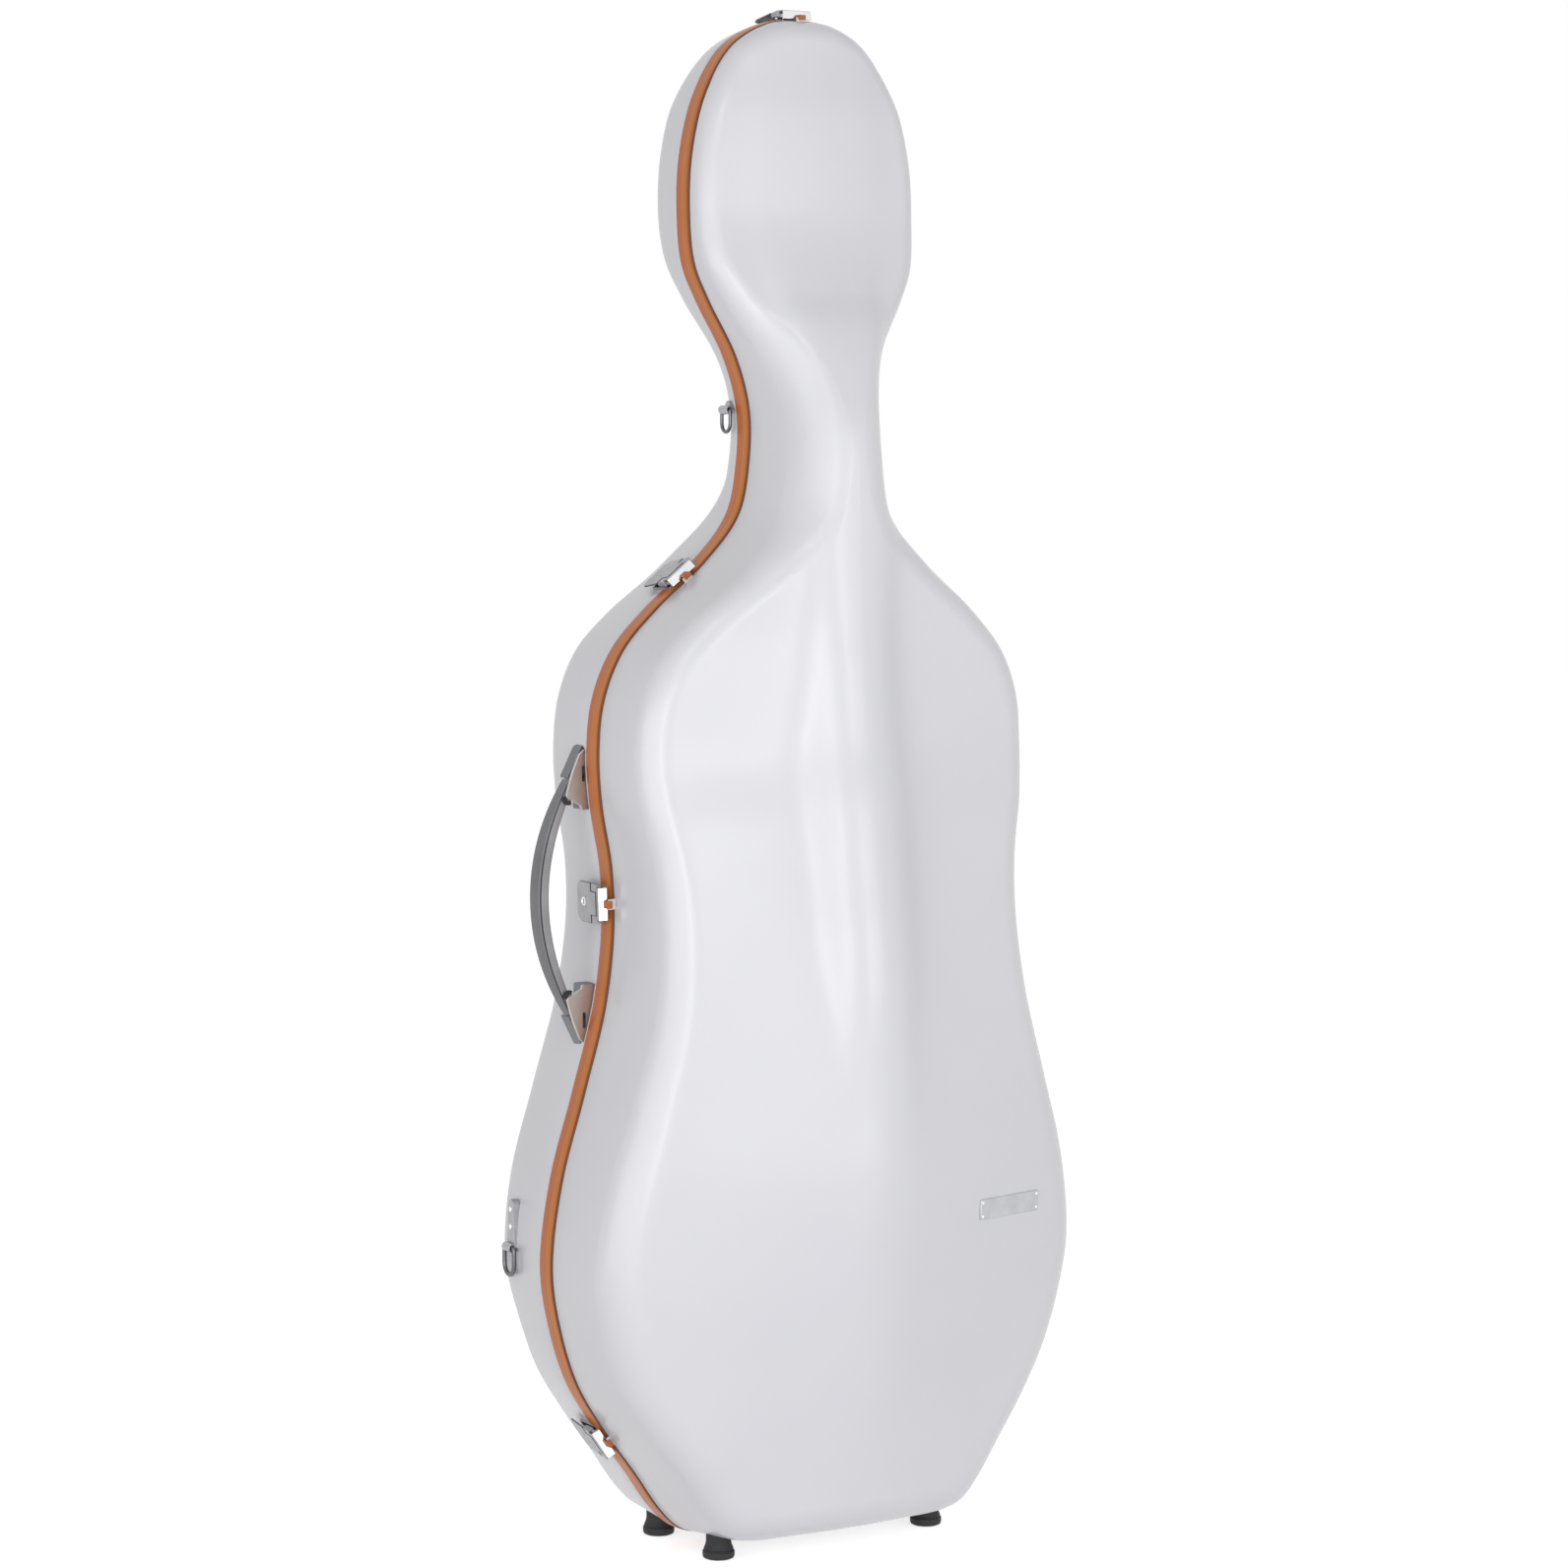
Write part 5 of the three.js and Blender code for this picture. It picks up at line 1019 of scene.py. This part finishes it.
for name in ("upper", "lower"):
    matrix = hinge_matrix(name)
    ends = (-KNUCKLE_AWAY, KNUCKLE_AWAY)
    back_leaf, lid_leaf = leaf_parts(-1, ends, BACK_LEAF_REACH), leaf_parts(1, (0,), LID_LEAF_REACH)
    for body, leaf in (("back", back_leaf), ("lid", lid_leaf)):
        add_piece(f"hinge_{name}_{body}_leaf", leaf, matrix, body, "hardware", NICKEL_LOOK,
                  f"hinge_{body}_leaf_{name}", bevel=0.4)
    pin = [rod(2.2, -24.2, 24.2), rod(3.4, 24.2, 25.9, edge=0.7)]
    add_piece(f"hinge_{name}_pin", pin, matrix, *BACK_NICKEL, f"hinge_pin_{name}")
    back_screws, lid_screws = leaf_screws(-27, (ends[0], 0, ends[1])), leaf_screws(17, ends)
    for body, screws in (("back", back_screws), ("lid", lid_screws)):
        add_piece(f"hinge_{name}_{body}_screws", screws, matrix, body, "hardware", BRIGHT_LOOK)


# Strap anchors. In an anchor's frame the eye's axis is z, x points along the plate and y outward
ANCHOR_HALF = 7.5
ANCHOR_LOW, ANCHOR_TOP = -7.6, -1.4
RING_HALF, RING_STRAIGHT, RING_WIRE = 10, 14, 2


def plate_plan(length):
    """A tapered plan with a round narrow end."""
    end = [(length - 4, -4.5), *arc(length - 4.5, 0, 4.5, -80, 80, 12), (length - 4, 4.5)]
    return [(0, -ANCHOR_HALF), *end, (0, ANCHOR_HALF)]


def ring_path(scale):
    """A ring's closed path: a bar through the eye, two rounded corners, two sides and a bow."""
    path = [(0, z) for z in np.linspace(-8, 8, 5)]
    corner = [(2 * math.cos(a) - 2, 8 + 2 * math.sin(a)) for a in np.linspace(0.3, math.pi / 2, 4)]
    side = [(x, RING_HALF) for x in (-6, -10, -RING_STRAIGHT)]
    turns = np.linspace(0, math.pi, 19)[1:-1]
    bow = [(-RING_STRAIGHT - RING_HALF * math.sin(a), RING_HALF * math.cos(a)) for a in turns]
    path += corner + side + bow + [(x, -z) for x, z in (corner + side)[::-1]]
    return [(x * scale, 0, z * scale) for x, z in path]


def anchor_parts(length):
    """A plate that reaches into the shell, with its end rolled into the eye."""
    plate = ring_solid([[(x, y, z) for x, z in plate_plan(length)] for y in (ANCHOR_LOW, ANCHOR_TOP)])
    turns = np.linspace(-0.5, math.pi * 1.28, 24)
    roll = [(4 * math.cos(a), 4 * math.sin(a)) for a in turns]
    roll += [(2.5 * math.cos(a), 2.5 * math.sin(a)) for a in turns[::-1]]
    return [plate, prism(roll, -ANCHOR_HALF, ANCHOR_HALF)]


for level, length, scale, rivet_places in (("lower", 42, 1, (18, 33)), ("upper", 8, 0.8, ())):
    for hand in ("left", "right"):
        place = f"{level}_{hand}"
        matrix = axes_matrix(*joint_frame(f"{place}_ring_swing", UP))
        add_piece(f"strap_{place}_plate", anchor_parts(length), matrix, *BACK_NICKEL,
                  f"{place}_strap_plate", bevel=0.35)
        ring = tube(ring_path(scale), RING_WIRE * scale, 16, True)
        add_piece(f"strap_{place}_ring", [ring], matrix, f"{place}_ring", "hardware", WIRE_LOOK,
                  f"{place}_strap_ring", sharp=80)
        if rivet_places:
            heads = [moved(screw(2.4, 1, False), Matrix.Translation((x, ANCHOR_TOP, 0)) @ TO_Y)
                     for x in rivet_places]
            add_piece(f"strap_{place}_rivets", heads, matrix, "back", "hardware", BRIGHT_LOOK)


# Bare name plate, flat, laid on the lid's slope at its place
def add_name_plate():
    x, z, step = 150, height_of(0.214), 10
    across = on_lid(x + step, z) - on_lid(x - step, z)
    along = on_lid(x, z + step) - on_lid(x, z - step)
    matrix = axes_matrix(seam_point(on_lid(x, z)), across, along)
    plan = rounded(77, 18, 1.5)
    edge = rounded(76.2, 17.2, 1.2)
    rings = [[(a, b, low) for a, b in outline] for outline, low in ((plan, -1.2), (plan, 1.1), (edge, 1.5))]
    add_piece("name_plate_bare", [ring_solid(rings)], matrix, "lid", "plate", PLATE_LOOK, "name_plate")
    heads = [moved(screw(1.3, 0.7, False), Matrix.Translation((a, b, 1.4)))
             for a in (-35.5, 35.5) for b in (-6, 6)]
    add_piece("name_plate_rivets", heads, matrix, "lid", "hardware", BRIGHT_LOOK)


add_name_plate()


# Interior: plush pads swollen by a short cloth run, a neck cradle with its strap, and a bow rest with clips
PAD_FRAMES = 20
PAD_VOXEL, FOAM_VOXEL = 5, 2.5
PAD_SIDE_SHRINK, PAD_FACE_SHRINK = 2.5, 1.5
PAD_HELD, PAD_SWELL, PAD_DROP, BOTTOM_DROP = 9, 6, 10, 12
PIPING_RADIUS, PIPING_POINTS, PIPING_REACH = 1.5, 72, 0.3
STRAP_STEPS, STRAP_HALF_THICK, STRAP_WIDTH, PATCH_WIDTH, STITCH_Z = 41, 1.2, 26, 22, 10.6
PADS = {"bottom": ("bottom_cushion", UP, BOTTOM_DROP)}
for level in ("shoulder", "lower"):
    for hand in ("left", "right"):
        PADS[f"{level}_{hand}"] = (f"{level}_cushion_{hand}", TOWARD_LID, PAD_DROP)


def soft_copy(name, node_name, shrink, voxel):
    """A finely meshed copy of a soft solid, a little smaller than it, and that solid's middle."""
    low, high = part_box(node_name)
    middle = (Vector(low) + Vector(high)) / 2
    mesh = bpy.data.objects[node_name].data.copy()
    factors = [1 - 2 * amount * MM / (high[k] - low[k]) for k, amount in enumerate(shrink)]
    for vert in mesh.vertices:
        vert.co = [middle[k] + (vert.co[k] - middle[k]) * factors[k] for k in range(3)]
    item = add_object(name, mesh)
    add_change(item, "even_faces", "REMESH", mode="VOXEL", voxel_size=voxel * MM)
    apply_changes(item)
    return item, middle


def start_swelling(item, face):
    """Adds a cloth whose inner pressure fills the pad, held where it lies on the lining."""
    levels = [v.co.dot(face) for v in item.data.vertices]
    held = min(levels) + PAD_HELD * MM
    group = item.vertex_groups.new(name="held")
    group.add([i for i, level in enumerate(levels) if level < held], 1, "REPLACE")
    cloth = item.modifiers.new("swell", "CLOTH")
    cloth.settings.quality = 6
    cloth.settings.mass = 0.3
    cloth.settings.use_pressure = True
    cloth.settings.uniform_pressure_force = 4
    cloth.settings.vertex_group_mass = "held"
    cloth.settings.effector_weights.gravity = 0
    cloth.point_cache.frame_start = 1
    cloth.point_cache.frame_end = PAD_FRAMES


def end_swelling(item, before):
    """Keeps the swollen shape, with no point further than a limit from where it began."""
    apply_changes(item)
    item.vertex_groups.clear()
    moves = np.array([v.co for v in item.data.vertices]) - before
    sizes = np.linalg.norm(moves, axis=1)
    moves *= np.minimum(1, PAD_SWELL * MM / np.maximum(sizes, 1e-9))[:, None]
    item.data.vertices.foreach_set("co", (before + moves).ravel())
    add_change(item, "finer", "SUBSURF", levels=1, render_levels=1)
    apply_changes(item)


def piping_loop(item, middle, face, drop):
    """Points around a pad's sides, on its surface at a drop below its top."""
    tree = BVHTree.FromPolygons([v.co for v in item.data.vertices], [p.vertices for p in item.data.polygons])
    level = max(v.co.dot(face) for v in item.data.vertices) - drop * MM
    first, second = Vector((1, 0, 0)), Vector((0, 1, 0)) if face.z else UP
    points = []
    for angle in np.linspace(0, 2 * math.pi, PIPING_POINTS, endpoint=False):
        way = first * math.cos(angle) + second * math.sin(angle)
        start = middle + face * (level - middle.dot(face)) + way * PIPING_REACH
        hit = tree.ray_cast(start, -way)[0]
        if hit is not None:
            points.append(hit / MM)
    return points


def add_pads():
    made = {}
    for name, (node_name, face, _) in PADS.items():
        shrink = [PAD_SIDE_SHRINK if abs(face[k]) < 0.5 else PAD_FACE_SHRINK for k in range(3)]
        item, middle = soft_copy(f"pad_{name}", node_name, shrink, PAD_VOXEL)
        before = np.array([v.co for v in item.data.vertices])
        start_swelling(item, face)
        made[name] = (item, middle, before)
    for step in range(1, PAD_FRAMES + 1):
        bpy.context.scene.frame_set(step)
    for item, _, before in made.values():
        end_swelling(item, before)
    bpy.context.scene.frame_set(1)
    for name, (item, middle, _) in made.items():
        node_name, face, drop = PADS[name]
        dress(item, "back", "cushion", CUSHION_LOOK, node_name)
        piping = tube(piping_loop(item, middle, face, drop), PIPING_RADIUS, 8, True)
        matrix = Matrix.Scale(MM, 4)
        add_piece(f"pad_{name}_piping", [piping], matrix, "back", "cushion", PIPING_LOOK, sharp=80)


add_pads()


def add_foam(name, node_name, body, smoothing):
    """A firm foam block under plush, with rounded edges."""
    item, _ = soft_copy(name, node_name, (0, 0, 0), FOAM_VOXEL)
    add_change(item, "soften", "SMOOTH", factor=0.5, iterations=smoothing)
    apply_changes(item)
    dress(item, body, "foam", FOAM_LOOK, node_name)


add_foam("neck_cradle_foam", "neck_cradle", "back", 6)
add_foam("bow_rest_foam", "bow_rest", "lid", 4)


def add_neck_strap():
    """A bowed strap with stitched edges, whose ends are tucked into the cradle, and its closing patch."""
    low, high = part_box("neck_strap")
    middle = (Vector(low) + Vector(high)) / 2
    half, bow = (high.x - low.x) / 2 / MM, (high.y - low.y) / MM - 2 * STRAP_HALF_THICK
    matrix = Matrix.Translation((middle.x, high.y, middle.z)) @ Matrix.Scale(MM, 4)
    across = np.linspace(-1, 1, STRAP_STEPS)

    def place(t, out, z):
        return t * half, -STRAP_HALF_THICK - bow * (1 - t * t) - out, z

    def band(width, outer, inner, start=-1.0, stop=1.0):
        side = width / 2
        section = ((outer, -side), (outer, side), (inner, side), (inner, -side))
        stretch = across[(across >= start) & (across <= stop)]
        return ring_solid([[place(t, out, z) for out, z in section] for t in stretch])

    pieces = [
        ("webbing", band(STRAP_WIDTH, 1.1, -1.1), STRAP_LOOK, ["neck_strap"], 0.4),
        ("patch", band(PATCH_WIDTH, 1.9, 0.8, 0.1, 0.62), PIPING_LOOK, [], 0.4)]
    for hand, z in (("left", -STITCH_Z), ("right", STITCH_Z)):
        thread = tube([place(t, 1.15, z) for t in across[1:-1]], 0.25, 6)
        pieces.append((f"stitch_{hand}", thread, CLIP_LOOK, [], 0))
    for name, part, look, nodes, bevel in pieces:
        add_piece(f"neck_strap_{name}", [part], matrix, "back", "cushion", look, *nodes, bevel=bevel)


add_neck_strap()


def add_bow_clip(hand):
    """A turning bar with round ends and thumb ribs, on a flanged pin."""
    clip = f"bow_clip_{hand}"
    place = Vector(JOINTS[f"{clip}_turn"]["pos_m"])
    low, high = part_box(clip)
    middle = ((low.x + high.x) / 2 - place.x) / MM
    matrix = Matrix.Translation(place) @ Matrix.Scale(MM, 4)
    turn = Matrix.Rotation(math.radians(90), 4, "X")
    bar = [moved(prism(rounded(44, 15, 7.2, middle, 0, 8), -4.3, -0.4), turn)]
    for away in (12, 15, 18):
        rib = rounded(1.2, 9, 0.5, middle + math.copysign(away, middle), 0, 3)
        bar.append(moved(prism(rib, -4.8, -4), turn))
    add_piece(f"{clip}_bar", bar, matrix, clip, "clip", CLIP_LOOK, clip, bevel=0.4)
    pin = [moved(rod(2.5, -5, 7.7), turn), moved(screw(4.4, 1.4), Matrix.Translation((0, 4.4, 0)) @ TO_Y)]
    add_piece(f"{clip}_pin", pin, matrix, clip, "clip", NICKEL_LOOK)


add_bow_clip("left")
add_bow_clip("right")


# Camera, floor, backdrop and lamps
CAMERA_DISTANCE = 3676
CAMERA_HEIGHT = 930
CAMERA_TURN = math.radians(33)
CAMERA_AIM = math.radians(33 - 0.121)
CAMERA_PITCH = math.radians(4.142361)
FOCAL_PIXELS = 4261.733
IMAGE_SIDE = 1592
SENSOR_WIDTH = 36
WORLD_LEVEL = 0.4
FLOOR_HALF = 12
FLOOR_COLOR = (0.85, 0.85, 0.85, 1)
FLOOR_GLOW = 0.69
WHITE = (1, 1, 1, 1)
LAMP_AIM = 650


def around(turn, distance, height):
    """A place at an angle about the case, from -Y towards +X."""
    return seam_point((distance * math.sin(turn), -distance * math.cos(turn), height))


def add_camera():
    data = bpy.data.cameras.new("camera")
    data.sensor_width = SENSOR_WIDTH
    data.lens = FOCAL_PIXELS / IMAGE_SIDE * SENSOR_WIDTH
    camera = add_object("camera", data)
    camera.location = around(-CAMERA_TURN, CAMERA_DISTANCE, CAMERA_HEIGHT)
    level = math.cos(CAMERA_PITCH)
    forward = Vector((math.sin(CAMERA_AIM) * level, math.cos(CAMERA_AIM) * level, -math.sin(CAMERA_PITCH)))
    camera.rotation_euler = forward.to_track_quat("-Z", "Y").to_euler()
    bpy.context.scene.camera = camera


def show_white(look, dim, white, output_kind):
    """Shows the white shader to camera, glossy and transmission rays, and the dim one to the others."""
    path = node(look, "ShaderNodeLightPath")
    seen = path.outputs["Is Camera Ray"]
    for name in ("Is Glossy Ray", "Is Transmission Ray"):
        larger = node(look, "ShaderNodeMath", operation="MAXIMUM")
        link(look, seen, larger.inputs[0])
        link(look, path.outputs[name], larger.inputs[1])
        seen = larger.outputs[0]
    chosen = node(look, "ShaderNodeMixShader")
    for start, stop in zip((seen, dim.outputs[0], white.outputs[0]), chosen.inputs):
        link(look, start, stop)
    output = node(look, output_kind)
    link(look, chosen.outputs[0], output.inputs["Surface"])


def add_floor():
    """A pale floor that shows plain white where nothing shades it."""
    look = bpy.data.materials.new("floor_white")
    look.use_nodes = True
    look.node_tree.nodes.clear()
    diffuse = node(look, "ShaderNodeBsdfDiffuse", Color=FLOOR_COLOR)
    glow = node(look, "ShaderNodeEmission", Strength=FLOOR_GLOW)
    both = node(look, "ShaderNodeAddShader")
    link(look, diffuse.outputs[0], both.inputs[0])
    link(look, glow.outputs[0], both.inputs[1])
    show_white(look, diffuse, both, "ShaderNodeOutputMaterial")
    mesh = bpy.data.meshes.new("floor")
    corners = [(x * FLOOR_HALF, y * FLOOR_HALF, 0) for x, y in ((-1, -1), (1, -1), (1, 1), (-1, 1))]
    mesh.from_pydata(corners, [], [(0, 1, 2, 3)])
    mesh.materials.append(look)
    floor = add_object("floor", mesh)


def add_world():
    world = bpy.data.worlds.new("studio")
    bpy.context.scene.world = world
    world.use_nodes = True
    world.node_tree.nodes.clear()
    dim = node(world, "ShaderNodeBackground", Color=WHITE, Strength=WORLD_LEVEL)
    white = node(world, "ShaderNodeBackground", Color=WHITE, Strength=1)
    show_white(world, dim, white, "ShaderNodeOutputWorld")


def add_lamp(name, turn, height, distance, size, power):
    """A soft rectangular lamp, turned about the case, aimed at a height on its middle line."""
    data = bpy.data.lights.new(name, "AREA")
    data.shape = "RECTANGLE"
    data.size, data.size_y = size
    data.energy = power
    lamp = add_object(name, data)
    lamp.location = around(math.radians(turn), distance, height)
    lamp.rotation_euler = (seam_point((0, 0, LAMP_AIM)) - lamp.location).to_track_quat("-Z", "Y").to_euler()


bpy.context.scene.view_settings.view_transform = "Standard"
add_camera()
add_world()
add_floor()
add_lamp("wide_lamp", -55, 800, 3400, (4.2, 1.6), 41)
add_lamp("front_lamp", 3, 800, 3400, (3.6, 1.6), 19)
add_lamp("crest_lamp", -25, 2850, 3200, (0.9, 0.9), 9)
add_lamp("left_strip", -23, 720, 3300, (0.45, 1.1), 8)
add_lamp("right_strip", 20, 750, 3300, (0.36, 1.1), 8.5)
